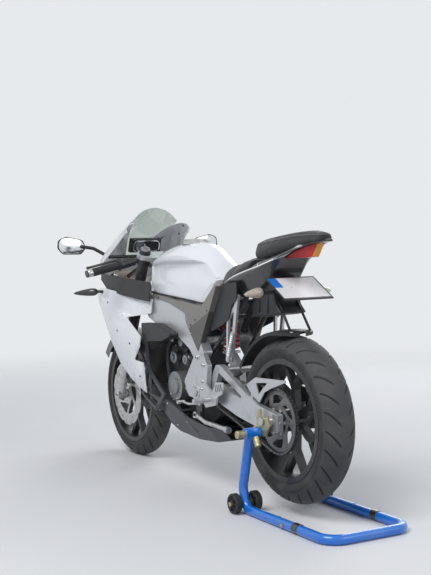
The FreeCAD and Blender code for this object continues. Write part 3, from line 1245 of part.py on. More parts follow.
def build_calipers():
    """Brake calipers, each slotted for its disc."""
    disc_y, half_slot = size("front_disc_y"), size("disc_plate") / 2 + 3
    at = polar(FRONT_AXLE, 128, 128)
    front = plate("front_caliper_block", [(at.x + dx, at.z + dz) for dx, dz in (
        (-42, -18), (-22, -44), (18, -26), (46, 12), (30, 40), (-14, 34))], 46, disc_y - 20, 8)
    slot = rod("front_disc_slot", "Sizes.front_disc_radius + 5", str(2 * half_slot),
               FRONT_AXLE + LEFT * (disc_y - half_slot), LEFT)
    slotted = cut("front_caliper_slotted", front, slot)
    node("front_caliper", cut("front_caliper", slotted, NODES["fork_lowers"]))
    rear_y = size("rear_disc_y")
    at = polar(REAR_AXLE, 98, 62)
    rear = plate("rear_caliper_block", [(at.x + dx, at.z + dz) for dx, dz in (
        (-36, -8), (-16, -30), (26, -34), (40, -4), (18, 30), (-22, 26))], 42, rear_y - 22, 7)
    bracket = plate("rear_caliper_bracket", [(at.x + dx, at.z + dz) for dx, dz in (
        (-14, 4), (20, 0), (34, -60), (0, -70))], 12, rear_y - 18, 6)
    rear_slot = rod("rear_disc_slot", "Sizes.rear_disc_radius + 5", str(2 * half_slot),
                    REAR_AXLE + LEFT * (rear_y - half_slot), LEFT)
    solid = cut("rear_caliper_slotted", fused("rear_caliper_solid", [rear, bracket]), rear_slot)
    node("rear_caliper", cut("rear_caliper", solid, NODES["swingarm"]))


# Stands

def build_side_stand():
    """Side stand folded back along the left side, on a bolt that leans so it splays out."""
    lean = math.radians(size("side_stand_lean"))
    axis = Vector(0, math.cos(lean), math.sin(lean))
    pivot = Vector(back(520), 123, 306)
    bracket = plate("side_stand_bracket", [(back(x), z) for x, z in (
        (502, 290), (540, 290), (560, 384), (500, 384))], 10, pivot.y - 8, 8)
    boss = rod("side_stand_boss", "15", "9", pivot - axis, axis)
    bolt = rod("side_stand_bolt", "6", "34", pivot, axis)
    fixed = fused("side_stand_mount_solid", [bracket, boss, bolt])
    mount = cut("side_stand_mount", fixed, NODES["main_frame"])
    eye_base = pivot + axis * (8 + size("steer_clearance"))
    eye = rod("side_stand_eye", "13", "20", eye_base, axis)
    start = eye_base + axis * (size("side_stand_radius") + 1)
    leg = tube("side_stand_leg", [
        start, Vector(back(440), start.y + 2, 292), Vector(back(272), start.y + 4, 288),
    ], size("side_stand_radius"), 40)
    foot = tube("side_stand_foot", [
        Vector(back(276), start.y + 4, 288), Vector(back(250), start.y + 6, 287)], 13)
    solid = fused("side_stand_solid", [eye, leg, foot])
    room = rod("side_stand_room", "6 + Sizes.bore_clearance", "40", pivot, axis)
    node("side_stand", cut("side_stand", solid, room))
    node("subframes", together("subframes", [
        PIECES["seat_subframe"], PIECES["fairing_stay"], mount]))


def build_paddock_stand():
    """Paddock stand: one bent tube, sleeves with forked hooks, and wheels on pins."""
    radius, spread = size("stand_tube"), size("stand_spread")
    low_z = radius
    axle = Vector(back(size("stand_axle_x")), 0, size("stand_wheel_radius"))
    sleeve_z = size("spool_z") - 44

    def side_points(side):
        return [
            Vector(back(56), side * spread, sleeve_z), Vector(back(112), side * spread, 96),
            Vector(back(92), side * spread, low_z),
            Vector(back(-size("stand_back")), side * spread, low_z),
        ]
    path = side_points(1) + side_points(-1)[::-1]
    frame = tube("stand_bend", path, radius, 62)
    parts = [frame]
    hooks, wheels = [], []
    for tag, side in (("left", 1), ("right", -1)):
        at = Vector(back(50), side * 132, sleeve_z)
        parts.append(rod(f"stand_sleeve_{tag}", "21", "60", at + LEFT * (side * 4), LEFT * side))
        parts.append(rod(f"stand_axle_boss_{tag}", "12", "36",
                         axle + LEFT * (side * (spread - 18)), LEFT * side))
    solid = fused("stand_solid", parts)
    tools = []
    for tag, side in (("left", 1), ("right", -1)):
        tools.append(rod(f"adaptor_room_{tag}", "14", "200",
                         Vector(back(50), side * 100, sleeve_z), LEFT * side))
        tools.append(rod(f"stand_pin_room_{tag}", "Sizes.stand_pin_radius + Sizes.bore_clearance", "60",
                         axle + LEFT * (side * (spread - 30)), LEFT * side))
    node("paddock_stand", cut("paddock_stand", solid, fused("stand_rooms", tools)))
    spool_x, spool_z = back(size("spool_x")), size("spool_z")
    room = size("spool_radius") + size("seat_gap")
    for tag, side in (("left", 1), ("right", -1)):
        adaptor = rod(f"adaptor_{tag}", "14", "112",
                      Vector(back(50), side * 118, sleeve_z), LEFT * side)
        outline = [
            (back(-22), 340), (back(4), 300), (back(56), 292), (back(68), 344), (back(58), 392),
            (spool_x + room, 394), (spool_x + room, spool_z - 5), (spool_x, spool_z - room * 1.32),
            (spool_x - room, spool_z - 5), (spool_x - room, 366), (back(-8), 376),
        ]
        low = size("hook_y") if side > 0 else -size("hook_y") - size("hook_wall")
        fork = plate(f"hook_plate_{tag}", outline, "Sizes.hook_wall", low, 0)
        knob = tube(f"stand_knob_{tag}", [
            Vector(back(42), side * 156, sleeve_z - 14), Vector(back(20), side * 156, sleeve_z - 46),
        ], 13)
        hooks.append(fused(f"hook_{tag}", [adaptor, fork]))
        knob_fit = cut(f"knob_fit_{tag}", knob, NODES["paddock_stand"])
        hooks.append(knob_fit)
        pins = [rod(f"stand_pin_{tag}", "Sizes.stand_pin_radius", "108",
                    axle + LEFT * (side * 108), LEFT * side)]
        for spot, y in (("inner", 106), ("outer", spread + 24)):
            pins.append(rod(f"stand_wheel_{spot}_{tag}", "Sizes.stand_wheel_radius",
                            "Sizes.stand_wheel_width", axle + LEFT * (side * y), LEFT * side))
        wheels.append((tag, pins))
    node("stand_hooks", together("stand_hooks", hooks))
    for tag, pins in wheels:
        node(f"stand_wheels_{tag}", fused(f"stand_wheels_{tag}", pins))


def export_nodes():
    """Check every object and write each node's solids."""
    doc.recompute()
    unsound = []
    for item in doc.Objects:
        if "Invalid" in item.State or "Error" in item.State:
            unsound.append(item.Name)
        elif hasattr(item, "Shape") and item.Shape.Solids and not item.Shape.isValid():
            unsound.append(item.Name)
    if unsound:
        raise RuntimeError(f"unsound objects: {unsound}")
    os.makedirs("parts", exist_ok=True)
    for name, item in NODES.items():
        shape = item.Shape
        if shape.isNull() or not shape.isValid() or not shape.Solids:
            raise RuntimeError(f"{name} has no sound solid")
        shape.exportStep(f"parts/{name}.step")
        box = shape.BoundBox
        print(f"{name}: {len(shape.Solids)} solids, {shape.Volume / 1000:.0f} cm3, "
              f"x {box.XMin:.0f}..{box.XMax:.0f} y {box.YMin:.0f}..{box.YMax:.0f} "
              f"z {box.ZMin:.0f}..{box.ZMax:.0f}")


build_wheels()
build_chain()
build_drive()
build_frame()
build_subframe()
build_swingarm()
build_shock()
build_tank()
build_seats()
build_tail_fittings()
build_side_fairings()
build_nose()
build_fittings()
build_fork()
build_bars()
build_calipers()
build_side_stand()
build_paddock_stand()
export_nodes()
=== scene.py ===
"""Looks of the sport bike on its rear paddock stand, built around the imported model."""

import json
import logging
from contextlib import contextmanager
from dataclasses import astuple, dataclass, field
from enum import Enum
from math import acos, asin, atan2, cos, hypot, pi, radians, sin, sqrt
from typing import Callable, Iterable, Iterator, Sequence

import bmesh
import bpy
from mathutils import Euler, Matrix, Vector
from mathutils.bvhtree import BVHTree


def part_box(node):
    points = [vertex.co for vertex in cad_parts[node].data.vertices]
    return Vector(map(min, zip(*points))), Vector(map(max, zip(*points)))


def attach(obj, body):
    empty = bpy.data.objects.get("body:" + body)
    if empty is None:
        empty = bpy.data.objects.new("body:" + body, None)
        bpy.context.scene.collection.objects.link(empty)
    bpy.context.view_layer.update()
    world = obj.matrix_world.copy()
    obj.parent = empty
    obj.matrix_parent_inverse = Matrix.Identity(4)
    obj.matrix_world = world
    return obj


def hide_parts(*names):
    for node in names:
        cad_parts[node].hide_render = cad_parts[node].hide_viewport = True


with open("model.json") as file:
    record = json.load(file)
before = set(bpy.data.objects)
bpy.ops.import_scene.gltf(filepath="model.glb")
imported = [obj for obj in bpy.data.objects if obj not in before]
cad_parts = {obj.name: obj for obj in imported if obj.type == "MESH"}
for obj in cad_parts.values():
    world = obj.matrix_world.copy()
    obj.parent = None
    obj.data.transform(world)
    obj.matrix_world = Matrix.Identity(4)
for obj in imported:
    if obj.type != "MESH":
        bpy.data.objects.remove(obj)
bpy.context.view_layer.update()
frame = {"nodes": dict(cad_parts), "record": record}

log = logging.getLogger("sport_bike")

MM = 0.001
Obj = bpy.types.Object
Point = tuple[float, float, float]
Flat = tuple[float, float]
Number = float | int
REAR_TYRE_LOW, REAR_TYRE_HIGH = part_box("rear_tyre")
FRONT_TYRE_LOW, FRONT_TYRE_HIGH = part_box("front_tyre")
WHEELBASE = 1350
REAR_TYRE_SIZE = (0.314, 0.070, 0.052)
FRONT_TYRE_SIZE = (0.296, 0.050, 0.046)
REAR_AXLE = (REAR_TYRE_LOW + REAR_TYRE_HIGH) / 2
FRONT_AXLE = (FRONT_TYRE_LOW + FRONT_TYRE_HIGH) / 2


def back(x: float, y: float, z: float) -> Vector:
    """Metres from millimetres: x ahead of the rear axle, y to the left, z over the floor."""
    return Vector((REAR_AXLE.x + x * MM, y * MM, z * MM))


def fore(x: float, y: float, z: float) -> Vector:
    """Metres from millimetres: x ahead of the front axle, y to the left, z over the floor."""
    return Vector((FRONT_AXLE.x + x * MM, y * MM, z * MM))


LEFT = Vector((0.0, 1.0, 0.0))
UP = Vector((0.0, 0.0, 1.0))
RAKE = radians(23.5)
FORK_UP = Vector((-sin(RAKE), 0.0, cos(RAKE)))
FORK_AHEAD = Vector((cos(RAKE), 0.0, sin(RAKE)))


def on_fork(ahead: float, y: float, up: float) -> Vector:
    """Point in metres from millimetres along the fork's own axes from the front axle."""
    return FRONT_AXLE + (FORK_AHEAD * ahead + LEFT * y + FORK_UP * up) * MM


# Shader trees


def operator(kind: str, reflected: bool = False) -> Callable[["Sock", "Value"], "Sock"]:
    """Make an operator of a value that adds a Math node.

    Args:
        kind: Math node's operation.
        reflected: whether the other value comes first.

    Returns:
        The operator's method.
    """
    def method(value: "Sock", other: "Value") -> "Sock":
        """Math node of the value and another."""
        first, second = (other, value) if reflected else (value, other)
        return value.math(kind, first, second)

    return method


class Sock:
    """A value inside a material, with maths written as operators."""

    __add__, __radd__ = operator("ADD"), operator("ADD", True)
    __sub__, __rsub__ = operator("SUBTRACT"), operator("SUBTRACT", True)
    __mul__, __rmul__ = operator("MULTIPLY"), operator("MULTIPLY", True)
    __pow__ = operator("POWER")

    def __init__(self, shader: "Shader", socket: bpy.types.NodeSocket) -> None:
        """Wrap one output socket of a shader."""
        self.shader = shader
        self.socket = socket

    def math(self, kind: str, first: "Value", second: "Value") -> "Sock":
        """Math node of two values.

        Args:
            kind: node's operation.
            first: left value.
            second: right value.

        Returns:
            Its result.
        """
        made = self.shader.node("ShaderNodeMath", {"operation": kind}, {0: first, 1: second})
        return Sock(self.shader, made.outputs[0])

    def smooth(self, low: float, high: float) -> "Sock":
        """Smooth step from nought to one.

        Args:
            low: value below which it is nought.
            high: value above which it is one.

        Returns:
            The step.
        """
        made = self.shader.node("ShaderNodeMapRange", {"interpolation_type": "SMOOTHSTEP"},
                                {"Value": self, "From Min": low, "From Max": high})
        return Sock(self.shader, made.outputs[0])


Value = Sock | Number | tuple


class Shader:
    """A material whose tree is made node by node."""

    def __init__(self, name: str) -> None:
        """Start a material with an empty tree, a Principled shader and its output.

        Args:
            name: material's name.
        """
        self.material = bpy.data.materials.new(name)
        self.material.use_nodes = True
        self.tree = self.material.node_tree
        self.tree.nodes.clear()
        self.skin = self.tree.nodes.new("ShaderNodeBsdfPrincipled")
        output = self.tree.nodes.new("ShaderNodeOutputMaterial")
        self.tree.links.new(self.skin.outputs[0], output.inputs["Surface"])

    def node(self, kind: str, settings: dict, inputs: dict) -> bpy.types.Node:
        """Add a node.

        Args:
            kind: Blender's name of the node's type.
            settings: properties of the node, set before its sockets.
            inputs: values or links of its sockets, by name or by index.

        Returns:
            The node.
        """
        made = self.tree.nodes.new(kind)
        for key, value in settings.items():
            setattr(made, key, value)
        for key, value in inputs.items():
            self.feed(made, key, value)
        return made

    def feed(self, made: bpy.types.Node, key: str | int, value: Value) -> None:
        """Set or link one socket of a node.

        Args:
            made: the node.
            key: socket's name or index.
            value: number, colour or value to link.
        """
        target = made.inputs[key]
        if isinstance(value, Sock):
            self.tree.links.new(value.socket, target)
        else:
            target.default_value = value

    def surface(self, **inputs: Value) -> None:
        """Set or link sockets of the Principled shader, underscores standing for spaces."""
        for key, value in inputs.items():
            self.feed(self.skin, key.replace("_", " ").title().replace("Ior", "IOR"), value)

    def place(self, stretch: Point = (1.0, 1.0, 1.0)) -> Sock:
        """Object coordinates in metres.

        Args:
            stretch: factor along each axis.

        Returns:
            The coordinates.
        """
        at = self.node("ShaderNodeTexCoord", {}, {})
        mapped = self.node("ShaderNodeMapping", {}, {"Vector": Sock(self, at.outputs["Object"]),
                                                     "Scale": stretch})
        return Sock(self, mapped.outputs[0])

    def noise(self, scale: float, detail: float = 3.0, stretch: Point = (1.0, 1.0, 1.0)) -> Sock:
        """Noise from 0 to 1.

        Args:
            scale: waves per metre.
            detail: octaves.
            stretch: factor along each axis.

        Returns:
            The noise.
        """
        made = self.node("ShaderNodeTexNoise", {}, {
            "Vector": self.place(stretch), "Scale": scale, "Detail": detail})
        return Sock(self, made.outputs["Fac"])

    def cells(self, scale: float, feature: str = "F1") -> Sock:
        """Distance to the nearest of scattered points.

        Args:
            scale: points per metre.
            feature: what is measured.

        Returns:
            The distance.
        """
        made = self.node("ShaderNodeTexVoronoi", {"feature": feature}, {
            "Vector": self.place(), "Scale": scale})
        return Sock(self, made.outputs["Distance"])

    def axis(self, index: int) -> Sock:
        """One coordinate of the object's place, in metres."""
        split = self.node("ShaderNodeSeparateXYZ", {}, {0: self.place()})
        return Sock(self, split.outputs[index])

    def mix(self, share: Value, first: Value, second: Value) -> Sock:
        """Colour between two colours."""
        made = self.node("ShaderNodeMix", {"data_type": "RGBA"}, {0: share, 6: first, 7: second})
        return Sock(self, made.outputs[2])

    def bump(self, height: Sock, distance: float, strength: float = 1.0) -> None:
        """Drive the shader's normal with a height.

        Args:
            height: the height, from 0 to 1.
            distance: its size in metres.
            strength: its share.
        """
        made = self.node("ShaderNodeBump", {}, {
            "Height": height, "Distance": distance, "Strength": strength})
        self.feed(self.skin, "Normal", Sock(self, made.outputs[0]))

    def ribbed(self, scale: float) -> None:
        """Drive the normal with ribs.

        Args:
            scale: waves per metre.
        """
        wave = self.node("ShaderNodeTexWave", {}, {"Vector": self.place(), "Scale": scale,
                                                   "Distortion": 0.0})
        self.bump(Sock(self, wave.outputs["Fac"]), 0.0006)


def shade(colour: Sequence[float], factor: float = 1.0) -> tuple:
    """The same colour lighter or darker, with alpha."""
    return (*(min(1.0, c * factor) for c in colour[:3]), 1.0)


# Finishes

ROAD_DUST = (0.17, 0.155, 0.14, 1.0)


@dataclass(frozen=True)
class Finish:
    """A named finish; each kind adds its own nodes."""

    name: str

    def nodes(self, shader: Shader) -> None:
        """Add the nodes of the finish.

        Args:
            shader: shader that gets them.
        """
        raise NotImplementedError

    def material(self) -> bpy.types.Material:
        """Build the material.

        Returns:
            The material.
        """
        shader = Shader(self.name)
        self.nodes(shader)
        return shader.material


@dataclass(frozen=True)
class Paint(Finish):
    """Sprayed paint under a clear coat, with a fine ripple and a film of dust."""

    colour: Point
    roughness: float = 0.32
    coat: float = 0.8
    metallic: float = 0.0
    dust: float = 0.10

    def nodes(self, shader: Shader) -> None:
        """Add its nodes.

        Args:
            shader: shader that gets them.
        """
        film = shader.noise(9.0, 5.0).smooth(0.45, 0.8) * self.dust
        colour = shader.mix(film, shade(self.colour), (0.42, 0.40, 0.37, 1.0))
        speckle = shader.noise(950.0, 2.0)
        shader.surface(base_color=colour, metallic=self.metallic, coat_weight=self.coat,
                       coat_roughness=0.06,
                       roughness=film * 1.5 + speckle * 0.06 + (self.roughness - 0.03))
        shader.bump(shader.noise(260.0, 2.0), 0.00006)


@dataclass(frozen=True)
class Moulded(Finish):
    """Moulded plastic with a fine grain, greyer where it is rubbed."""

    colour: Point
    roughness: float = 0.5
    grain: float = 1500.0
    depth: float = 0.00012

    def nodes(self, shader: Shader) -> None:
        """Add its nodes.

        Args:
            shader: shader that gets them.
        """
        rub = shader.noise(14.0, 6.0).smooth(0.5, 0.78)
        shader.surface(
            base_color=shader.mix(rub * 0.5, shade(self.colour),
                                  shade([c * 1.5 + 0.02 for c in self.colour])),
            roughness=rub * 0.12 + (self.roughness - 0.03))
        shader.bump(shader.cells(self.grain), self.depth)


@dataclass(frozen=True)
class Cast(Finish):
    """Cast or painted light alloy: a sandy skin, darker in patches of grime."""

    colour: Point
    roughness: float = 0.42
    metallic: float = 0.75
    grain: float = 900.0

    def nodes(self, shader: Shader) -> None:
        """Add its nodes.

        Args:
            shader: shader that gets them.
        """
        grime = shader.noise(22.0, 6.0).smooth(0.52, 0.8)
        sand = shader.noise(self.grain, 3.0)
        shader.surface(
            base_color=shader.mix(grime * 0.45, shade(self.colour), shade(self.colour, 0.55)),
            metallic=self.metallic,
            roughness=grime * 0.2 + sand * 0.1 + (self.roughness - 0.05))
        shader.bump(sand, 0.0002)


@dataclass(frozen=True)
class Steel(Finish):
    """Turned or plated steel with fine tool marks and oily stains."""

    colour: Point
    roughness: float = 0.3
    stain: Point = (0.10, 0.08, 0.06)
    stained: float = 0.35

    def nodes(self, shader: Shader) -> None:
        """Add its nodes.

        Args:
            shader: shader that gets them.
        """
        marks = shader.noise(300.0, 4.0, (1.0, 0.08, 1.0))
        oil = shader.noise(38.0, 5.0).smooth(0.5, 0.72)
        shader.surface(
            base_color=shader.mix(oil * self.stained, shade(self.colour), shade(self.stain)),
            metallic=0.95, roughness=marks * 0.14 + oil * 0.14 + (self.roughness - 0.06))
        shader.bump(marks, 0.00005)


@dataclass(frozen=True)
class Rubber(Finish):
    """Tyre or grip rubber: matt and dusty."""

    colour: Point = (0.030, 0.030, 0.032)
    roughness: float = 0.72
    dust: float = 0.22

    def nodes(self, shader: Shader) -> None:
        """Add its nodes.

        Args:
            shader: shader that gets them.
        """
        dust = shader.noise(16.0, 6.0).smooth(0.42, 0.8) * self.dust
        grit = shader.noise(1300.0, 3.0)
        shader.surface(
            base_color=shader.mix(dust, shade(self.colour), ROAD_DUST),
            roughness=dust * 0.5 + grit * 0.1 + (self.roughness - 0.05))
        shader.bump(grit, 0.00015)


@dataclass(frozen=True)
class Tread(Finish):
    """Tyre rubber, pale where it has run, with painted shade darkening the grooves that lie under its
    round crown.
    """

    axle: Vector
    radius: float
    half: float
    shoulder: float
    run: Point = (0.052, 0.052, 0.055)
    side: Point = (0.026, 0.026, 0.028)
    # painted shade: colour of the grooves, darker than the rubber, for the shade inside them
    groove: Point = (0.006, 0.006, 0.007)

    def nodes(self, shader: Shader) -> None:
        """Add its nodes.

        Args:
            shader: shader that gets them.
        """
        crown = (self.half ** 2 + self.shoulder ** 2) / (2 * self.shoulder)
        ahead, up = shader.axis(0) - self.axle.x, shader.axis(2) - self.axle.z
        across = shader.axis(1)
        reach = (ahead * ahead + up * up) ** 0.5
        skin = (crown ** 2 + 1e-6 - across * across) ** 0.5 + (self.radius - crown)
        tread = reach.smooth(self.radius - self.shoulder * 0.97, self.radius - self.shoulder * 0.8)
        # mask of the painted shade: one in the grooves below the round crown's skin, nought on the tread
        cut = (skin - reach).smooth(0.0009, 0.0026) * tread
        dust = shader.noise(16.0, 6.0).smooth(0.42, 0.8) * 0.25
        grit = shader.noise(1300.0, 3.0)
        worn = shader.mix(tread, shade(self.side), shade(self.run))
        dusty = shader.mix(dust, worn, ROAD_DUST)
        shader.surface(base_color=shader.mix(cut, dusty, shade(self.groove)),
                       roughness=grit * 0.1 + 0.66)
        shader.bump(grit, 0.00015)


@dataclass(frozen=True)
class Vinyl(Finish):
    """Seat cover with a leather grain and a soft sheen at its edges."""

    colour: Point = (0.022, 0.022, 0.024)

    def nodes(self, shader: Shader) -> None:
        """Add its nodes.

        Args:
            shader: shader that gets them.
        """
        pores = shader.cells(620.0, "DISTANCE_TO_EDGE").smooth(0.0, 0.18)
        folds = shader.noise(70.0, 3.0)
        worn = shader.noise(7.0, 4.0).smooth(0.45, 0.75)
        shader.surface(
            base_color=shader.mix(worn * 0.5, shade(self.colour), shade(self.colour, 2.1)),
            roughness=worn * -0.08 + folds * 0.06 + 0.5,
            sheen_weight=0.25, sheen_roughness=0.4)
        shader.bump(pores * 0.7 + folds * 0.3, 0.0005)


@dataclass(frozen=True)
class Lens(Finish):
    """Coloured or clear plastic that light passes through."""

    colour: Point
    roughness: float = 0.06
    see_through: float = 0.6
    ribs: float = 0.0

    def nodes(self, shader: Shader) -> None:
        """Add its nodes.

        Args:
            shader: shader that gets them.
        """
        haze = shader.noise(40.0, 4.0)
        shader.surface(
            base_color=shader.mix(haze * 0.3, shade(self.colour), shade(self.colour, 0.8)),
            roughness=haze * 0.05 + self.roughness, transmission_weight=self.see_through, ior=1.45,
            coat_weight=0.6)
        if self.ribs:
            shader.ribbed(self.ribs)


@dataclass(frozen=True)
class TailLens(Finish):
    """Red lens that turns amber behind a line, ribbed inside."""

    red: Point
    amber: Point
    ribs: float = 55.0
    split: float = -0.156
    level: float = 0.984
    slope: float = 0.706

    def nodes(self, shader: Shader) -> None:
        """Add its nodes.

        Args:
            shader: shader that gets them.
        """
        line = REAR_AXLE.x + self.split + self.slope * self.level
        behind = (line - shader.axis(0) - shader.axis(2) * self.slope).smooth(-0.001, 0.001)
        haze = shader.noise(60.0, 3.0)
        shader.surface(base_color=shader.mix(behind, shade(self.red), shade(self.amber)),
                       roughness=haze * 0.06 + 0.2, transmission_weight=0.15, coat_weight=0.15)
        shader.ribbed(self.ribs)


@dataclass(frozen=True)
class CoverPlasticFacetShade(Finish):
    """Grey side cover, with painted shade making its lower rear facet darker."""

    light: Point = (0.225, 0.213, 0.200)
    # painted shade: colour of the lower rear facet, darker as if it faced away from the light
    dark: Point = (0.105, 0.098, 0.093)
    edge_x: float = 0.551
    edge_z: float = 0.672
    slope: float = 0.448

    def nodes(self, shader: Shader) -> None:
        """Add its nodes.

        Args:
            shader: shader that gets them.
        """
        ahead = shader.axis(0) - (REAR_AXLE.x + self.edge_x)
        # mask of the painted shade: one below a slanting line across the cover, on its lower rear facet
        under = (ahead * -self.slope + self.edge_z - shader.axis(2)).smooth(-0.001, 0.001)
        rub = shader.noise(12.0, 6.0).smooth(0.5, 0.8)
        grain = shader.cells(1400.0)
        colour = shader.mix(under, shade(self.light), shade(self.dark))
        shader.surface(base_color=shader.mix(rub * 0.25, colour, (0.2, 0.19, 0.18, 1.0)),
                       metallic=0.25, roughness=rub * 0.12 + 0.36, coat_weight=0.15)
        shader.bump(grain, 0.00005)


FINISHES = {look.name: look for look in (
    Paint("white_paint", (0.80, 0.81, 0.83), roughness=0.26, dust=0.05),
    Paint("blue_paint", (0.0, 0.17, 0.68), roughness=0.28),
    Paint("red_paint", (0.50, 0.012, 0.012), roughness=0.35),
    Paint("black_gloss", (0.018, 0.018, 0.020), roughness=0.33, dust=0.12),
    Paint("black_metal", (0.016, 0.016, 0.018), roughness=0.4, coat=0.25, dust=0.2),
    Paint("plate_white", (0.78, 0.79, 0.80), roughness=0.35, coat=0.2, dust=0.12),
    Moulded("black_plastic", (0.022, 0.022, 0.025)),
    Moulded("grey_plastic", (0.060, 0.063, 0.070), roughness=0.42, depth=0.00006),
    Cast("silver_frame", (0.58, 0.59, 0.61), roughness=0.33, metallic=0.7),
    Cast("engine_metal", (0.055, 0.055, 0.060), roughness=0.55, metallic=0.4),
    Cast("cover_metal", (0.30, 0.31, 0.32), roughness=0.42, metallic=0.7),
    Steel("bright_steel", (0.58, 0.58, 0.58)),
    Steel("chrome", (0.75, 0.76, 0.77), roughness=0.12, stained=0.1),
    Steel("dark_steel", (0.20, 0.20, 0.21), roughness=0.42, stained=0.6),
    Steel("zinc", (0.52, 0.47, 0.30), roughness=0.4, stained=0.3),
    Rubber("tyre_rubber"),
    Tread("rear_tread", REAR_AXLE, *REAR_TYRE_SIZE),
    Tread("front_tread", FRONT_AXLE, *FRONT_TYRE_SIZE),
    Rubber("soft_rubber", (0.020, 0.020, 0.021), roughness=0.6, dust=0.1),
    Vinyl("seat_cover"),
    Vinyl("piping", (0.13, 0.13, 0.135)),
    CoverPlasticFacetShade("cover_plastic"),
    Steel("mirror_glass", (0.80, 0.82, 0.84), roughness=0.09, stained=0.06),
    # painted highlight: pale, half-clear bead for the bright line along the windscreen's edge
    Lens("screen_edge", (0.80, 0.86, 0.84), see_through=0.3, roughness=0.15),
    TailLens("red_lens", (0.70, 0.012, 0.02), (0.85, 0.36, 0.03)),
    Lens("amber_lens", (0.75, 0.30, 0.02), see_through=0.35, ribs=60.0),
    Lens("clear_lens", (0.86, 0.80, 0.72), see_through=0.55, ribs=80.0),
    Lens("screen_tint", (0.60, 0.66, 0.61), see_through=0.95, roughness=0.02),
)}
MATERIALS: dict[str, bpy.types.Material] = {}


def finish(name: str) -> bpy.types.Material:
    """Material of a finish, made once.

    Args:
        name: name of the finish.

    Returns:
        Its material.
    """
    if name not in MATERIALS:
        MATERIALS[name] = FINISHES[name].material()
    return MATERIALS[name]


# Meshes


def placed(name: str, data: bpy.types.ID) -> Obj:
    """New object of a mesh, curve, lamp or camera in the scene.

    Args:
        name: object's name.
        data: what it shows.

    Returns:
        The object, at the origin.
    """
    made = bpy.data.objects.new(name, data)
    bpy.context.scene.collection.objects.link(made)
    return made


@contextmanager
def editing(mesh: bpy.types.Mesh) -> Iterator[bmesh.types.BMesh]:
    """Open a mesh for editing and write it back at the end.

    Args:
        mesh: mesh to change.

    Returns:
        The mesh as bmesh has it.
    """
    work = bmesh.new()
    work.from_mesh(mesh)
    yield work
    work.to_mesh(mesh)
    work.free()


def everything(work: bmesh.types.BMesh) -> list:
    """All points, edges and faces of an open mesh."""
    return work.verts[:] + work.edges[:] + work.faces[:]


def mesh_object(name: str, points: Iterable[Sequence[float]],
                faces: Iterable[Sequence[int]]) -> Obj:
    """Object at the origin from points and faces, its normals outwards.

    Args:
        name: object's name.
        points: its points in metres.
        faces: its faces, by index.

    Returns:
        The object.
    """
    mesh = bpy.data.meshes.new(name)
    mesh.from_pydata([tuple(p) for p in points], [], [tuple(f) for f in faces])
    with editing(mesh) as work:
        bmesh.ops.remove_doubles(work, verts=work.verts, dist=1e-6)
        bmesh.ops.recalc_face_normals(work, faces=work.faces)
        for face in work.faces:
            face.smooth = True
    return placed(name, mesh)


def applied(made: Obj) -> Obj:
    """Make modifiers part of the mesh.

    Args:
        made: object with modifiers.

    Returns:
        The same object.
    """
    bpy.context.view_layer.update()
    seen = made.evaluated_get(bpy.context.evaluated_depsgraph_get())
    mesh = bpy.data.meshes.new_from_object(seen)
    made.modifiers.clear()
    made.data = mesh
    return made


def modifier(made: Obj, kind: str, **settings: object) -> bpy.types.Modifier:
    """Add a modifier.

    Args:
        made: object that gets it.
        kind: Blender's name of its type.
        settings: its properties.

    Returns:
        The modifier.
    """
    added = made.modifiers.new(kind.lower(), kind)
    for key, value in settings.items():
        setattr(added, key, value)
    return added


def rounded_edges(made: Obj, width: float, angle: float = 32.0,
                  segments: int = 2) -> Obj:
    """Break the edges of an object, its normals following the flat faces.

    Args:
        made: the object.
        width: width of the break in metres.
        angle: least angle of an edge, in degrees.
        segments: faces across the break.

    Returns:
        The same object.
    """
    modifier(made, "BEVEL", width=width, segments=segments, limit_method="ANGLE",
             angle_limit=radians(angle), harden_normals=True, use_clamp_overlap=True)
    modifier(made, "WEIGHTED_NORMAL", keep_sharp=True)
    return applied(made)


def rings_object(name: str, rings: Sequence[Sequence[Vector]], closed_ends: bool = True,
                 creases: dict[int, float] | None = None, end_crease: float = 0.5) -> Obj:
    """Skin over closed rings of as many points.

    Args:
        name: object's name.
        rings: rings of points in order.
        closed_ends: whether both ends get a cap.
        creases: crease of the line through a point of every ring, by its index.
        end_crease: crease round the caps.

    Returns:
        The object.
    """
    count = len(rings[0])
    points = [p for ring in rings for p in ring]
    faces = []
    for i in range(len(rings) - 1):
        for j in range(count):
            k = (j + 1) % count
            faces.append((i * count + j, i * count + k, (i + 1) * count + k, (i + 1) * count + j))
    if closed_ends:
        last = (len(rings) - 1) * count
        faces.append(tuple(range(count))[::-1])
        faces.append(tuple(last + j for j in range(count)))
    made = mesh_object(name, points, faces)
    mesh = made.data
    layer = mesh.attributes.new("crease_edge", "FLOAT", "EDGE")
    place = {tuple(round(c, 6) for c in p): n for n, p in enumerate(points)}
    index = [place.get(tuple(round(c, 6) for c in v.co), -1) for v in mesh.vertices]
    for edge in mesh.edges:
        a, b = (index[v] for v in edge.vertices)
        same_line = a % count == b % count
        if same_line and creases and a % count in creases:
            layer.data[edge.index].value = creases[a % count]
        if closed_ends and not same_line and a // count == b // count:
            if a // count in (0, len(rings) - 1):
                layer.data[edge.index].value = end_crease
    return made


def catmull(rows: Sequence[Sequence[float]], steps: int) -> list[list[float]]:
    """Smooth rows of numbers between given ones.

    Args:
        rows: given rows.
        steps: rows to each gap.

    Returns:
        All rows.
    """
    dense = []
    last = len(rows) - 1
    for i in range(last):
        before, here, there, after = (rows[max(0, min(last, i + d))] for d in (-1, 0, 1, 2))
        for s in range(steps):
            t = s / steps
            dense.append([
                0.5 * (2 * b + (c - a) * t + (2 * a - 5 * b + 4 * c - d) * t * t
                       + (3 * b - a - 3 * c + d) * t ** 3)
                for a, b, c, d in zip(before, here, there, after)
            ])
    dense.append(list(rows[-1]))
    return dense


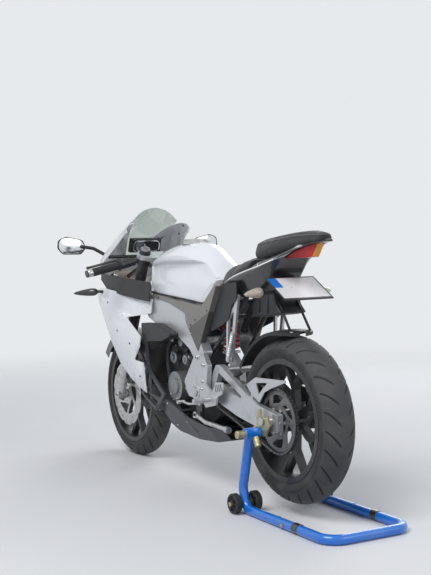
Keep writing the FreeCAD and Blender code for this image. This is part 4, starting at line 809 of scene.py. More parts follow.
def tube_object(name: str, route: Sequence[Vector], radius: float | Sequence[float],
                sides: int = 16) -> Obj:
    """Round tube along a route.

    Args:
        name: object's name.
        route: points of its middle line.
        radius: one radius, or one for each point.
        sides: number of its sides.

    Returns:
        The tube, capped.
    """
    radii = list(radius) if isinstance(radius, (list, tuple)) else [radius] * len(route)
    rings = []
    side = None
    for i, at in enumerate(route):
        ahead = (route[min(i + 1, len(route) - 1)] - route[max(i - 1, 0)]).normalized()
        if side is None:
            side = ahead.orthogonal().normalized()
        side = (side - ahead * side.dot(ahead)).normalized()
        up = ahead.cross(side)
        rings.append([
            at + (side * cos(a) + up * sin(a)) * radii[i]
            for a in (2 * pi * k / sides for k in range(sides))
        ])
    return rings_object(name, rings)


def smooth_route(points: Iterable[Sequence[float]], steps: int) -> list[Vector]:
    """Route with smooth points between the given ones, steps to each gap."""
    return [Vector(row) for row in catmull([tuple(p) for p in points], steps)]


def turned_object(name: str, profile: Sequence[Flat], base: Vector, axis: Vector,
                  sides: int = 32, ring: bool = False, unit: float = MM) -> Obj:
    """Turned piece.

    Args:
        name: object's name.
        profile: rows of (radius, distance along the axis from the base).
        base: where the profile's distances start.
        axis: direction of the axis.
        sides: number of its sides.
        ring: whether the profile is closed on itself, rather than capped at both ends.
        unit: the profile's unit in metres.

    Returns:
        The object.
    """
    along = axis.normalized()
    side = along.orthogonal().normalized()
    up = along.cross(side)
    rings = [[
        base + along * (far * unit) + (side * cos(a) + up * sin(a)) * max(radius * unit, 1e-5)
        for a in (2 * pi * k / sides for k in range(sides))
    ] for radius, far in profile]
    closed = rings + rings[:1] if ring else rings
    return smooth_by_angle(rings_object(name, closed, not ring), 35.0)


def smooth_by_angle(made: Obj, angle: float) -> Obj:
    """Smooth faces, with sharp edges where they turn sharply.

    Args:
        made: the object.
        angle: largest smooth turn in degrees.

    Returns:
        The same object.
    """
    limit = radians(angle)
    with editing(made.data) as work:
        for edge in work.edges:
            edge.smooth = not (len(edge.link_faces) == 2 and edge.calc_face_angle(0.0) > limit)
        for face in work.faces:
            face.smooth = True
    return made


def joined(name: str, pieces: Sequence[Obj]) -> Obj:
    """Make one object of several, their modifiers made part of it.

    Args:
        name: name of the result.
        pieces: objects; they are removed.

    Returns:
        The result.
    """
    whole = bmesh.new()
    for piece in pieces:
        if piece.modifiers:
            applied(piece)
        whole.from_mesh(piece.data)
    mesh = bpy.data.meshes.new(name)
    whole.to_mesh(mesh)
    whole.free()
    for piece in pieces:
        bpy.data.objects.remove(piece)
    return placed(name, mesh)


def mirrored(made: Obj) -> Obj:
    """Add the same piece on the bike's other side.

    Args:
        made: piece of one side.

    Returns:
        The same object, with both.
    """
    with editing(made.data) as work:
        twin = bmesh.ops.duplicate(work, geom=everything(work))["geom"]
        for vert in twin:
            if isinstance(vert, bmesh.types.BMVert):
                vert.co.y = -vert.co.y
        faces = [g for g in twin if isinstance(g, bmesh.types.BMFace)]
        bmesh.ops.reverse_faces(work, faces=faces)
    return made


def dress(made: Obj, body: str, slot_name: str | None, look: str | None = None,
          *nodes: str) -> Obj:
    """Give a piece its finish, its body and the nodes it stands for.

    Args:
        made: the piece.
        body: body that it rides on.
        slot_name: the record's material slot, if its finish is one of those.
        look: finish, if it isn't the slot's own.
        nodes: nodes of the frame that it replaces.

    Returns:
        The piece.
    """
    made.data.materials.clear()
    made.data.materials.append(finish(look or slot_name))
    for face in made.data.polygons:
        face.material_index = 0
    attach(made, body)
    if nodes:
        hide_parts(*nodes)
    log.info("%s: %d faces on %s", made.name, len(made.data.polygons), body)
    return made


# Repeats


def linked(tree: bpy.types.NodeTree, rows: Sequence[tuple]) -> None:
    """Link sockets of a tree, given as rows of (node, output, node, input)."""
    for source, output, target, socket in rows:
        tree.links.new(source.outputs[output], target.inputs[socket])


class Repeater:
    """Geometry Nodes tree that sets a piece on the points of a mesh, turned by an attribute."""

    def __init__(self) -> None:
        """Build the tree with its named inputs."""
        tree = bpy.data.node_groups.new("repeat_on_points", "GeometryNodeTree")
        face = tree.interface.new_socket
        face("Geometry", in_out="INPUT", socket_type="NodeSocketGeometry")
        self.piece, self.size, self.look = (
            face(name, in_out="INPUT", socket_type="NodeSocket" + kind).identifier
            for name, kind in (("Piece", "Object"), ("Size", "Float"), ("Finish", "Material")))
        face("Geometry", in_out="OUTPUT", socket_type="NodeSocketGeometry")
        start, end, turn, info, spread, to_turn, real, paint = (tree.nodes.new(kind) for kind in (
            "NodeGroupInput", "NodeGroupOutput", "GeometryNodeInputNamedAttribute",
            "GeometryNodeObjectInfo", "GeometryNodeInstanceOnPoints",
            "FunctionNodeEulerToRotation", "GeometryNodeRealizeInstances",
            "GeometryNodeSetMaterial"))
        turn.data_type = "FLOAT_VECTOR"
        turn.inputs["Name"].default_value = "turn"
        linked(tree, ((start, "Geometry", spread, "Points"), (start, "Piece", info, "Object"),
                      (info, "Geometry", spread, "Instance"), (turn, "Attribute", to_turn, 0),
                      (to_turn, 0, spread, "Rotation"), (start, "Size", spread, "Scale"),
                      (spread, "Instances", real, "Geometry"),
                      (real, "Geometry", paint, "Geometry"), (start, "Finish", paint, "Material"),
                      (paint, "Geometry", end, "Geometry")))
        self.tree = tree

    def spread(self, name: str, piece: Obj, spots: Sequence[tuple[Vector, Euler]],
               look: str, size: float = 1.0) -> Obj:
        """Set copies of a piece on spots.

        Args:
            name: name of the result.
            piece: the piece, modelled about the origin; it is removed.
            spots: place and turn of each copy.
            look: finish of the copies.
            size: size of every copy.

        Returns:
            A plain mesh of all the copies.
        """
        mesh = bpy.data.meshes.new(name)
        mesh.from_pydata([tuple(at) for at, _ in spots], [], [])
        turns = mesh.attributes.new("turn", "FLOAT_VECTOR", "POINT")
        for i, (_, turn) in enumerate(spots):
            turns.data[i].vector = tuple(turn)
        made = placed(name, mesh)
        nodes = made.modifiers.new("repeat", "NODES")
        nodes.node_group = self.tree
        nodes[self.piece] = piece
        nodes[self.size] = size
        nodes[self.look] = finish(look)
        applied(made)
        bpy.data.objects.remove(piece)
        return made


REPEATER = Repeater()


def facing_turn(direction: Vector) -> Euler:
    """Turn that points a piece's own +Z along a direction."""
    return Vector(direction).to_track_quat("Z", "Y").to_euler()


# Wheels


@dataclass
class Tyre:
    """Tyre whose tread is cut with long curved grooves that sweep in from both shoulders."""

    node: str
    body: str
    axle: Vector
    radius: float
    half: float
    shoulder: float
    bead: float = 0.2165
    bead_half: float = 0.059
    flange: float = 0.2305
    pitches: int = 26
    groove_half: float = 0.0030
    groove_depth: float = 0.0042
    sweep: float = 1.35
    curl: float = 1.45
    start: float = 0.12
    stop: float = 0.86
    fade_in: float = 0.12
    fade_out: float = 0.06
    wall_rows: int = 7
    across: int = 54
    around: int = 36
    look: str = "rear_tread"

    def profile(self) -> list[Point]:
        """Cross-section from the left bead to the right.

        Returns:
            Rows of radius, y and place on the tread, which is -1 to 1, or 2 on the walls.
        """
        widest = self.radius - self.shoulder
        rows = []
        for k in range(self.wall_rows):
            t = k / self.wall_rows
            bulge = sin(t * pi / 2)
            rows.append((self.flange + (widest - self.flange) * t,
                         self.bead_half + (self.half - self.bead_half) * bulge, 2.0))
        centre = (self.half ** 2 + self.shoulder ** 2) / (2 * self.shoulder)
        middle = self.radius - centre
        reach = asin(min(1.0, self.half / centre))
        if self.shoulder > self.half:
            reach = pi - reach
        crown = []
        for k in range(self.across + 1):
            u = 1 - 2 * k / self.across
            angle = reach * u
            crown.append((middle + centre * cos(angle), centre * sin(angle), u))
        rim = [(self.bead, self.bead_half, 2.0)]
        left = rim + rows
        right = [(r, -y, 2.0) for r, y, _ in reversed(left)]
        return left + crown + right

    def depth(self, u: float, turn: float) -> float:
        """Depth of the tread's groove at a place.

        Args:
            u: place across, -1 to 1.
            turn: place around, in pitches.

        Returns:
            The depth in metres.
        """
        v = abs(u)
        if not self.start < v < self.stop:
            return 0.0
        shift = self.sweep * (self.stop - v) ** self.curl + (0.5 if u < 0 else 0.0)
        off = (turn + shift + 0.5) % 1.0 - 0.5
        arc = 2 * pi * self.radius / self.pitches
        taper = min(1.0, (v - self.start) / self.fade_in, (self.stop - v) / self.fade_out)
        width = self.groove_half * (0.55 + 0.45 * taper)
        edge = abs(off) * arc / width
        return self.groove_depth * taper * max(0.0, min(1.0, 1.9 - edge))

    def build(self) -> Obj:
        """One pitch of the tyre, repeated round the axle.

        Returns:
            The tyre.
        """
        profile = self.profile()
        step = 2 * pi / self.pitches
        points, faces = [], []
        for i in range(self.around + 1):
            share = i / self.around
            angle = share * step
            for radius, y, u in profile:
                r = radius - (self.depth(u, share) if u <= 1 else 0.0)
                points.append((r * cos(angle), y, -r * sin(angle)))
        rows = len(profile)
        for i in range(self.around):
            for j in range(rows - 1):
                a = i * rows + j
                faces.append((a, a + 1, a + rows + 1, a + rows))
        pitch = mesh_object(self.node + "_pitch", points, faces)
        spots = [(self.axle, Euler((0.0, k * step, 0.0))) for k in range(self.pitches)]
        made = REPEATER.spread(self.node + "_tread", pitch, spots, "tyre_rubber")
        with editing(made.data) as work:
            bmesh.ops.remove_doubles(work, verts=work.verts, dist=2e-6)
            bmesh.ops.bridge_loops(work, edges=[e for e in work.edges if e.is_boundary])
            bmesh.ops.recalc_face_normals(work, faces=work.faces)
            for face in work.faces:
                face.smooth = True
        return dress(made, self.body, None, self.look, self.node)


@dataclass
class DriveChain:
    """Roller chain of outer and inner links round both sprockets."""

    pitch: float = 0.0127
    teeth: int = 60
    drive_teeth: int = 16
    line_y: float = 0.080
    drive: Vector = field(default_factory=lambda: back(598, 0, 428))
    waist: float = 0.0034
    end: float = 0.0048
    pin: float = 0.0018
    pin_ends: float = 0.0008
    bush: float = 0.0042
    outer_plates: Flat = (0.0062, 0.0078)
    inner_plates: Flat = (0.0042, 0.0058)
    round_trip: float = 2 * 0.598 + pi * 0.154

    def route(self, count: int) -> list[Vector]:
        """Places of the pins on the path round both sprockets.

        Args:
            count: number of pins.

        Returns:
            The places, evenly spaced.
        """
        big = self.pitch / (2 * sin(pi / self.teeth))
        small = self.pitch / (2 * sin(pi / self.drive_teeth))
        across = self.drive - REAR_AXLE
        length = hypot(across.x, across.z)
        slope = atan2(across.z, across.x)
        lean = acos((big - small) / length)

        def on(centre: Vector, radius: float, angle: float) -> Vector:
            """Point of a sprocket's pitch circle."""
            return Vector((centre.x + radius * cos(angle), self.line_y,
                           centre.z + radius * sin(angle)))

        fine = 60
        path = [on(self.drive, small, slope + lean - 2 * lean * k / fine) for k in range(fine + 1)]
        wrap = 2 * pi - 2 * lean
        path += [on(REAR_AXLE, big, slope - lean - wrap * k / fine) for k in range(fine + 1)]
        path.append(path[0])
        lengths = [0.0]
        for a, b in zip(path, path[1:]):
            lengths.append(lengths[-1] + (b - a).length)
        pins, j = [], 0
        for i in range(count):
            far = lengths[-1] * i / count
            while lengths[j + 1] < far:
                j += 1
            t = (far - lengths[j]) / (lengths[j + 1] - lengths[j])
            pins.append(path[j].lerp(path[j + 1], t))
        return pins

    def link(self, name: str, low: float, high: float, pins: bool) -> Obj:
        """One link along +X: two waisted plates, with bushes or with pins.

        Args:
            name: object's name.
            low: plates' inner face from the middle, in metres.
            high: plates' outer face.
            pins: whether it has pins rather than bushes.

        Returns:
            The link.
        """
        half, end = self.pitch / 2, self.end
        outline = []
        for side in (1, -1):
            for k in range(7):
                a = radians(-75 + 25 * k)
                outline.append((side * (half + end * cos(a)), side * end * sin(a)))
            outline.append((0.0, side * self.waist))
        pieces = []
        for inner, outer in ((low, high), (-high, -low)):
            ring = [[Vector((x, y, z)) for x, z in outline] for y in (inner, outer)]
            pieces.append(rings_object(name + "_plate", ring))
        barrel, reach = (self.pin, high + self.pin_ends) if pins else (self.bush, low)
        for x in (-half, half):
            pieces.append(turned_object(name + "_pin", ((barrel, -reach), (barrel, reach)),
                                        Vector((x, 0, 0)), LEFT, 8, unit=1.0))
        return smooth_by_angle(joined(name, pieces), 40.0)

    def build(self) -> Obj:
        """The whole chain, an outer link after every inner one.

        Returns:
            The chain.
        """
        count = 2 * round(self.round_trip / self.pitch / 2)
        pins = self.route(count)
        spots: tuple[list, list] = ([], [])
        for i, (a, b) in enumerate(zip(pins, pins[1:] + pins[:1])):
            ahead = b - a
            spots[i % 2].append(((a + b) / 2, Euler((0.0, -atan2(ahead.z, ahead.x), 0.0))))
        outer = REPEATER.spread("outer_links", self.link("outer_link", *self.outer_plates, True),
                                spots[0], "dark_steel")
        inner = REPEATER.spread("inner_links", self.link("inner_link", *self.inner_plates, False),
                                spots[1], "dark_steel")
        return dress(joined("chain_links", [outer, inner]), "chassis", "dark_steel", None, "chain")


# Small forms


def rounded_loop(corners: Sequence[Flat], radius: float,
                 steps: int = 4) -> list[Flat]:
    """Round the corners of a closed outline.

    Args:
        corners: its corners.
        radius: how far the rounding reaches.
        steps: points to each corner.

    Returns:
        The outline.
    """
    points = [Vector((x, y, 0.0)) for x, y in corners]
    loop = []
    for i, here in enumerate(points):
        into, out = points[i - 1] - here, points[(i + 1) % len(points)] - here
        reach = min(radius, 0.45 * into.length, 0.45 * out.length)
        start, end = here + into.normalized() * reach, here + out.normalized() * reach
        for k in range(steps + 1):
            t = k / steps
            at = start * (1 - t) ** 2 + here * (2 * t * (1 - t)) + end * t * t
            loop.append((at.x, at.y))
    return loop


def local(x: float, y: float, z: float) -> Vector:
    """Point in metres from millimetres about the origin."""
    return Vector((x * MM, y * MM, z * MM))


def prism(name: str, outline: Iterable[Flat], faces: Sequence[float],
          place: Callable[[float, float, float], Vector] = back) -> Obj:
    """Upright outline of (ahead, up) between faces across the bike, all in millimetres."""
    return rings_object(name, [[place(x, y, z) for x, z in outline] for y in faces])


def circle(x: float, y: float, radius: float, sides: int = 16) -> list[Flat]:
    """Round outline."""
    return [(x + radius * cos(2 * pi * k / sides),
             y + radius * sin(2 * pi * k / sides)) for k in range(sides)]


def polar(radius: float, degrees: float) -> Flat:
    """Point of a circle about the origin."""
    return (radius * cos(radians(degrees)), radius * sin(radians(degrees)))


def pierced_plate(name: str, outer: Sequence[Flat],
                  holes: Sequence[Sequence[Flat]], thickness: float, bevel: float,
                  centre: Vector) -> Obj:
    """Flat plate with holes, standing upright along the bike.

    Args:
        name: object's name.
        outer: outline as (ahead, up) in millimetres about the centre.
        holes: outlines of the holes.
        thickness: thickness across the bike in millimetres.
        bevel: how far its edges are broken, in millimetres.
        centre: middle of the plate's thickness.

    Returns:
        The plate.
    """
    curve = bpy.data.curves.new(name, "CURVE")
    curve.dimensions = "2D"
    curve.fill_mode = "BOTH"
    curve.extrude = (thickness / 2 - bevel) * MM
    curve.bevel_depth = bevel * MM
    curve.offset = -bevel * MM
    curve.bevel_resolution = 1
    for loop in (outer, *holes):
        spline = curve.splines.new("POLY")
        spline.points.add(len(loop) - 1)
        for point, (x, y) in zip(spline.points, loop):
            point.co = (x * MM, y * MM, 0.0, 1.0)
        spline.use_cyclic_u = True
    flat = placed(name + "_flat", curve)
    bpy.context.view_layer.update()
    graph = bpy.context.evaluated_depsgraph_get()
    mesh = bpy.data.meshes.new_from_object(flat.evaluated_get(graph))
    bpy.data.objects.remove(flat)
    mesh.transform(Matrix(((1, 0, 0, centre.x), (0, 0, -1, centre.y), (0, 1, 0, centre.z),
                           (0, 0, 0, 1))))
    with editing(mesh) as work:
        bmesh.ops.remove_doubles(work, verts=work.verts, dist=1e-6)
        bmesh.ops.recalc_face_normals(work, faces=work.faces)
    return smooth_by_angle(placed(name, mesh), 30.0)


class Skin:
    """Surface of frame nodes or pieces, for setting small things on it."""

    def __init__(self, *sources: str | Obj) -> None:
        """Read the surfaces.

        Args:
            sources: nodes, by name, or objects.
        """
        points, faces = [], []
        for source in sources:
            mesh = (frame["nodes"][source] if isinstance(source, str) else source).data
            first = len(points)
            points += [v.co.copy() for v in mesh.vertices]
            faces += [[first + i for i in p.vertices] for p in mesh.polygons]
        self.tree = BVHTree.FromPolygons(points, faces)

    def along(self, start: Vector, direction: Vector) -> tuple[Vector, Vector] | None:
        """Where a ray meets the surface.

        Args:
            start: ray's start.
            direction: ray's direction.

        Returns:
            The place and the way that the surface faces, or None.
        """
        at, normal, _, _ = self.tree.ray_cast(start, direction)
        if at is None:
            return None
        return at, (normal if normal.dot(direction) < 0 else -normal)

    def side(self, x: float, z: float, side: int = 1) -> tuple[Vector, Vector] | None:
        """Where the surface is met from one side, at a place in millimetres from the rear axle."""
        return self.along(back(x, 900.0 * side, z), LEFT * -side)

    def nearest(self, at: Vector) -> tuple[Vector, Vector]:
        """Nearest place on the surface.

        Args:
            at: a place near it.

        Returns:
            The place and the way that the surface faces.
        """
        found, normal, _, _ = self.tree.find_nearest(at)
        return found, normal


class Head(Enum):
    """Heads of the bike's screws: profile of (radius, height) and the number of its sides."""

    SOCKET = (((1.0, 0.0), (1.0, 0.75), (0.92, 0.85), (0.56, 0.85), (0.52, 0.3), (0.0, 0.3)), 12)
    DOME = (((1.0, 0.0), (0.97, 0.2), (0.75, 0.45), (0.45, 0.55), (0.4, 0.25), (0.0, 0.25)), 12)
    HEXAGON = (((1.0, 0.0), (1.0, 0.62), (0.88, 0.7), (0.0, 0.7)), 6)


@dataclass(frozen=True)
class Screw:
    """One screw: where its head sits, which way it faces, and its head's radius in millimetres."""

    at: Vector
    out: Vector
    radius: float = 4.0


def screws(name: str, head: Head, rows: Sequence[Screw], body: str, slot_name: str | None,
           look: str) -> None:
    """Set screws of one head, grouped by size, as one piece.

    Args:
        name: piece's name.
        head: form of the head.
        rows: the screws.
        body: body that they ride on.
        slot_name: record's slot, if any.
        look: finish.
    """
    profile, sides = head.value
    groups = []
    for radius in sorted({row.radius for row in rows}):
        piece = turned_object(name + "_head", [(r * radius, h * radius) for r, h in profile],
                              Vector((0, 0, 0)), UP, sides)
        spots = [(row.at, facing_turn(row.out)) for row in rows if row.radius == radius]
        groups.append(REPEATER.spread(f"{name}_{len(groups)}", piece, spots, look))
    dress(joined(name, groups), body, slot_name, look)


def around(centre: Vector, radius: float, count: int, out: Vector, head: float,
           start: float = 0.0) -> list[Screw]:
    """Screws on a circle that stands along the bike.

    Args:
        centre: circle's centre.
        radius: its radius in millimetres.
        count: number of screws.
        out: way that they face.
        head: heads' radius in millimetres.
        start: angle of the first, in degrees.

    Returns:
        The screws.
    """
    rows = []
    for k in range(count):
        x, z = polar(radius, start + 360.0 * k / count)
        rows.append(Screw(centre + Vector((x * MM, 0.0, z * MM)), out, head))
    return rows


def on_both_sides(skin: Skin, spots: Sequence[Point]) -> list[Screw]:
    """Screws on a skin's left and right.

    Args:
        skin: surface that carries them.
        spots: rows of (ahead of the rear axle, over the floor, radius), in millimetres.

    Returns:
        The screws.
    """
    rows = []
    for x, z, radius in spots:
        for side in (1, -1):
            found = skin.side(x, z, side)
            if found is None:
                log.warning("no surface for a screw at %.0f, %.0f", x, z)
            else:
                rows.append(Screw(found[0], found[1], radius))
    return rows


def step_up(value: float, low: float, high: float) -> float:
    """Smooth step from nought to one.

    Args:
        value: the value.
        low: value below which it is nought.
        high: value above which it is one.

    Returns:
        The step.
    """
    t = max(0.0, min(1.0, (value - low) / (high - low)))
    return t * t * (3 - 2 * t)


def between(value: float, rows: Sequence[Flat]) -> float:
    """Height of a line through points.

    Args:
        value: place along it.
        rows: rows of (place, height), the places rising.

    Returns:
        The height.
    """
    if value <= rows[0][0]:
        return rows[0][1]
    for (x0, z0), (x1, z1) in zip(rows, rows[1:]):
        if value <= x1:
            return z0 + (z1 - z0) * (value - x0) / (x1 - x0)
    return rows[-1][1]


def sculpted(made: Obj, inwards: Callable[[float, float, float], float],
             angle: float = 35.0) -> Obj:
    """Move a piece's flanks towards its middle plane.

    Args:
        made: piece to change.
        inwards: how far a point goes, all in millimetres, from how far it lies ahead of the rear
            axle, its distance from the middle plane and its height.
        angle: largest angle that is still shaded smooth.

    Returns:
        The same piece.
    """
    for vertex in made.data.vertices:
        at = vertex.co
        side = 1.0 if at.y > 0 else -1.0
        at.y -= side * inwards((at.x - REAR_AXLE.x) / MM, abs(at.y) / MM, at.z / MM) * MM
    return smooth_by_angle(made, angle)


def gridded(made: Obj, step: float, ahead: Flat,
            up: Flat) -> Obj:
    """Cut a piece along upright and level planes.

    Args:
        made: the piece.
        step: distance of the planes in millimetres.
        ahead: range ahead of the rear axle.
        up: range over the floor.

    Returns:
        The same piece.
    """
    with editing(made.data) as work:
        for normal, start, (low, high) in ((Vector((1, 0, 0)), back(0, 0, 0), ahead),
                                           (UP, Vector((0, 0, 0)), up)):
            for k in range(int((high - low) / step) + 1):
                bmesh.ops.bisect_plane(work, geom=everything(work), plane_no=normal,
                                       plane_co=start + normal * (low + k * step) * MM)
    return made


def merged_copy(node: str, name: str, keep: Callable[[float], bool] | None = None
                ) -> Obj:
    """Copy of a node with its flats merged.

    Args:
        node: the frame's node.
        name: name of the copy.
        keep: whether a solid stays, from how far it reaches from the middle plane in metres.

    Returns:
        The copy.
    """
    mesh = frame["nodes"][node].data.copy()
    with editing(mesh) as work:
        bmesh.ops.remove_doubles(work, verts=work.verts, dist=1e-5)
        waiting, away = (set(work.verts) if keep else set()), []
        while waiting:
            group, edge = set(), [waiting.pop()]
            while edge:
                vert = edge.pop()
                group.add(vert)
                fresh = {e.other_vert(vert) for e in vert.link_edges} & waiting
                waiting -= fresh
                edge += fresh
            if not keep(max(abs(v.co.y) for v in group)):
                away += group
        bmesh.ops.delete(work, geom=away, context="VERTS")
        bmesh.ops.dissolve_limit(work, angle_limit=radians(1.0), verts=work.verts,
                                 edges=work.edges)
    return placed(name, mesh)


def stuffed(made: Obj, voxel: float = 0.005, most: float = 0.007,
            pressure: float = 4.0, frames: int = 20) -> Obj:
    """Let a pad swell as filled cloth does.

    Args:
        made: closed pad, slightly smaller than it ends.
        voxel: size of its new faces.
        most: how far a point may move; downwards it hardly moves.
        pressure: pressure of the filling.
        frames: length of the simulation.

    Returns:
        The same pad, swollen and subdivided once.
    """
    modifier(made, "REMESH", mode="VOXEL", voxel_size=voxel, use_smooth_shade=True)
    applied(made)
    rest = [v.co.copy() for v in made.data.vertices]
    cloth = modifier(made, "CLOTH")
    cloth.settings.use_pressure = True
    cloth.settings.uniform_pressure_force = pressure
    cloth.settings.effector_weights.gravity = 0.0
    scene = bpy.context.scene
    cloth.point_cache.frame_start = 1
    cloth.point_cache.frame_end = frames
    for step in range(1, frames + 1):
        scene.frame_set(step)
    applied(made)
    scene.frame_set(1)
    for vertex, start in zip(made.data.vertices, rest):
        move = vertex.co - start
        if move.length > most:
            move *= most / move.length
        move.z = max(move.z, -0.001)
        vertex.co = start + move
    modifier(made, "SMOOTH", factor=0.5, iterations=4)
    modifier(made, "SUBSURF", levels=1, render_levels=1)
    applied(made)
    for face in made.data.polygons:
        face.use_smooth = True
    return made


# Wheels' metal


@dataclass
class Sprocket:
    """Rear sprocket: sixty teeth, long curved windows and a ring of bolts on its carrier."""

    teeth: int = 60
    tip: float = 116.8
    valley: float = 110.5
    y: float = 80.0
    thickness: float = 5.6
    windows: int = 6
    bolt_circle: float = 48.0
    carrier: float = 58.0
    window_low: float = 68.0
    window_high: float = 99.0
    swirl: float = 14.0
    corner: float = 8.0
    bore: float = 19.0

    def window(self, turn: float) -> list[Flat]:
        """One window, leaning with the turn of the wheel.

        Args:
            turn: its place in degrees.

        Returns:
            Its outline.
        """
        inner = [polar(self.window_low, turn + a) for a in (0, 12, 24, 36)]
        outer = [polar(self.window_high, turn + self.swirl + a) for a in (40, 28, 14, 0)]
        return rounded_loop(inner + outer, self.corner)

    def build(self) -> None:
        """Sprocket, carrier and bolts."""
        outer = []
        for k in range(self.teeth * 8):
            angle = 360.0 * k / (self.teeth * 8)
            wave = 0.5 + 0.5 * cos(radians(angle * self.teeth))
            outer.append(polar(self.valley + (self.tip - self.valley) * wave ** 0.8, angle))
        centre = REAR_AXLE + LEFT * self.y * MM
        holes = [self.window(360.0 * k / self.windows) for k in range(self.windows)]
        holes.append(circle(0, 0, self.bore, 32))
        plate = pierced_plate("sprocket_plate", outer, holes, self.thickness, 0.5, centre)
        dress(plate, "rear_wheel", "dark_steel", None, "rear_sprocket")
        back_face = centre - LEFT * (self.thickness / 2) * MM
        profile = ((self.carrier, 0.0), (self.carrier, 7.0), (self.carrier - 8, 13.0),
                   (42.0, 16.0))
        carrier = turned_object("sprocket_carrier", profile, back_face, -LEFT, 48)
        dress(carrier, "rear_wheel", "black_metal")
        face = centre + LEFT * (self.thickness / 2) * MM
        screws("sprocket_bolts", Head.HEXAGON,
               around(face, self.bolt_circle, self.windows, LEFT, 7.0),
               "rear_wheel", "dark_steel", "bright_steel")


@dataclass
class BrakeDisc:
    """Scalloped brake disc with drilled rows and curved arms."""

    node: str
    body: str
    axle: Vector
    y: float
    radius: float
    out: Vector
    waves: int = 10
    bite: float = 0.16
    thickness: float = 4.6
    bore: float = 19.0
    drilled: tuple = (0.785, 0.845, 0.905)
    drill: float = 2.7
    drill_step: float = 3.5
    arms: int = 6
    arm_low: float = 0.34
    arm_high: float = 0.66
    arm_lean: float = 0.55
    arm_corner: float = 7.0
    button_circle: float = 0.715
    bolt_circle: float = 0.24

    def edge(self, degrees: float) -> float:
        """Radius of the scalloped edge.

        Args:
            degrees: place around.

        Returns:
            The radius in millimetres.
        """
        step = 360.0 / self.waves
        off = radians((degrees + step / 2) % step - step / 2)
        bite = self.bite * self.radius
        far = self.radius + 0.75 * bite
        reach = bite ** 2 - (far * sin(off)) ** 2
        return min(self.radius, far * cos(off) - sqrt(reach)) if reach > 0 else self.radius

    def build(self) -> None:
        """Disc with its buttons."""
        steps = self.waves * 24
        outer = [polar(self.edge(360.0 * k / steps), 360.0 * k / steps) for k in range(steps)]
        holes = [circle(0, 0, self.bore, 32)]
        for k in range(self.waves * 3):
            turn = 360.0 * (k + 0.5) / (self.waves * 3)
            for row, share in enumerate(self.drilled):
                spot = polar(self.radius * share, turn + row * self.drill_step)
                holes.append(circle(*spot, self.drill, 10))
        step = 360.0 / self.arms
        for k in range(self.arms):
            turn = step * k
            inner = [polar(self.radius * self.arm_low, turn + a * step) for a in (0.12, 0.5, 0.86)]
            outside = [polar(self.radius * self.arm_high, turn + (a + self.arm_lean) * step)
                       for a in (0.90, 0.6, 0.3, 0.06)]
            holes.append(rounded_loop(inner + outside, self.arm_corner))
        centre = self.axle + LEFT * self.y * MM
        plate = pierced_plate(self.node + "_plate", outer, holes, self.thickness, 0.4, centre)
        dress(plate, self.body, "bright_steel", None, self.node)
        face = centre + self.out * (self.thickness / 2) * MM
        screws(self.node + "_buttons", Head.DOME,
               around(face, self.radius * self.button_circle, 12, self.out, 4.0)
               + around(face, self.radius * self.bolt_circle, 6, self.out, 4.5, 30.0),
               self.body, "bright_steel", "bright_steel")


@dataclass
class StandWheels:
    """Four ribbed wheels of the paddock stand, two on each side."""

    radius: float = 38.0
    width: float = 26.0
    axle_x: float = 112.0
    inner_y: float = 106.0
    outer_y: float = 194.0
    pin: float = 6.0
    rise: float = 5.0

    def wheel(self, side: int, low: float) -> list[Obj]:
        """One wheel: turned tread and web, and its ribs.

        Args:
            side: 1 for the left, -1 for the right.
            low: its inner face from the middle, in millimetres.

        Returns:
            Its pieces.
        """
        profile = ((self.pin, -1.0), (13.0, -1.0), (13.0, 5.0), (27.0, 6.0), (29.0, 1.0), (35.5, 0.4),
                   (self.radius, 3.0), (self.radius, 12.0), (37.0, 13.0), (self.radius, 14.0),
                   (self.radius, 23.0), (35.5, 25.6), (29.0, 25.0), (27.0, 20.0), (13.0, 21.0),
                   (13.0, 27.0), (self.pin, 27.0))
        base = back(self.axle_x, low * side, self.radius)
        tread = turned_object("stand_tread", profile, base, LEFT * side, 48)
        ribs = []
        for face_y in (2.0, self.width - 6.5):
            loop = ((12.0, -1.8), (28.5, -1.8), (28.5, 1.8), (12.0, 1.8))
            rib = prism("rib", loop, (0.0, self.rise), local)
            spots = [(base + LEFT * side * face_y * MM, Euler((0.0, radians(60 * k), 0.0)))
                     for k in range(6)]
            if side < 0:
                spots = [(at - LEFT * self.rise * MM, turn) for at, turn in spots]
            ribs.append(REPEATER.spread("stand_ribs", rib, spots, "soft_rubber"))
        return [tread, *ribs]

    def build(self) -> None:
        """Wheels and pins of both sides."""
        for tag, side in (("left", 1), ("right", -1)):
            pieces = self.wheel(side, self.inner_y) + self.wheel(side, self.outer_y)
            body = f"stand_wheels_{tag}"
            dress(joined(body + "_tread", pieces), body, "soft_rubber", None, body)
            ends = ((self.pin, 102.0), (self.pin, 224.0), (self.pin - 1.5, 225.5))
            pin = turned_object(body + "_pin", ends,
                                back(self.axle_x, 0, self.radius), LEFT * side, 24)
            dress(pin, body, None, "zinc")


# Bodywork


@dataclass(frozen=True)
class Station:
    """Cross-section of a closed body in millimetres: foot, flank, shoulder and crown."""

    x: float
    foot: float
    foot_z: float
    flank: float
    flank_z: float
    shoulder: float
    shoulder_z: float
    crown_z: float


def stations(*rows: Sequence[float]) -> tuple[Station, ...]:
    """Stations from rows of their numbers."""
    return tuple(Station(*row) for row in rows)


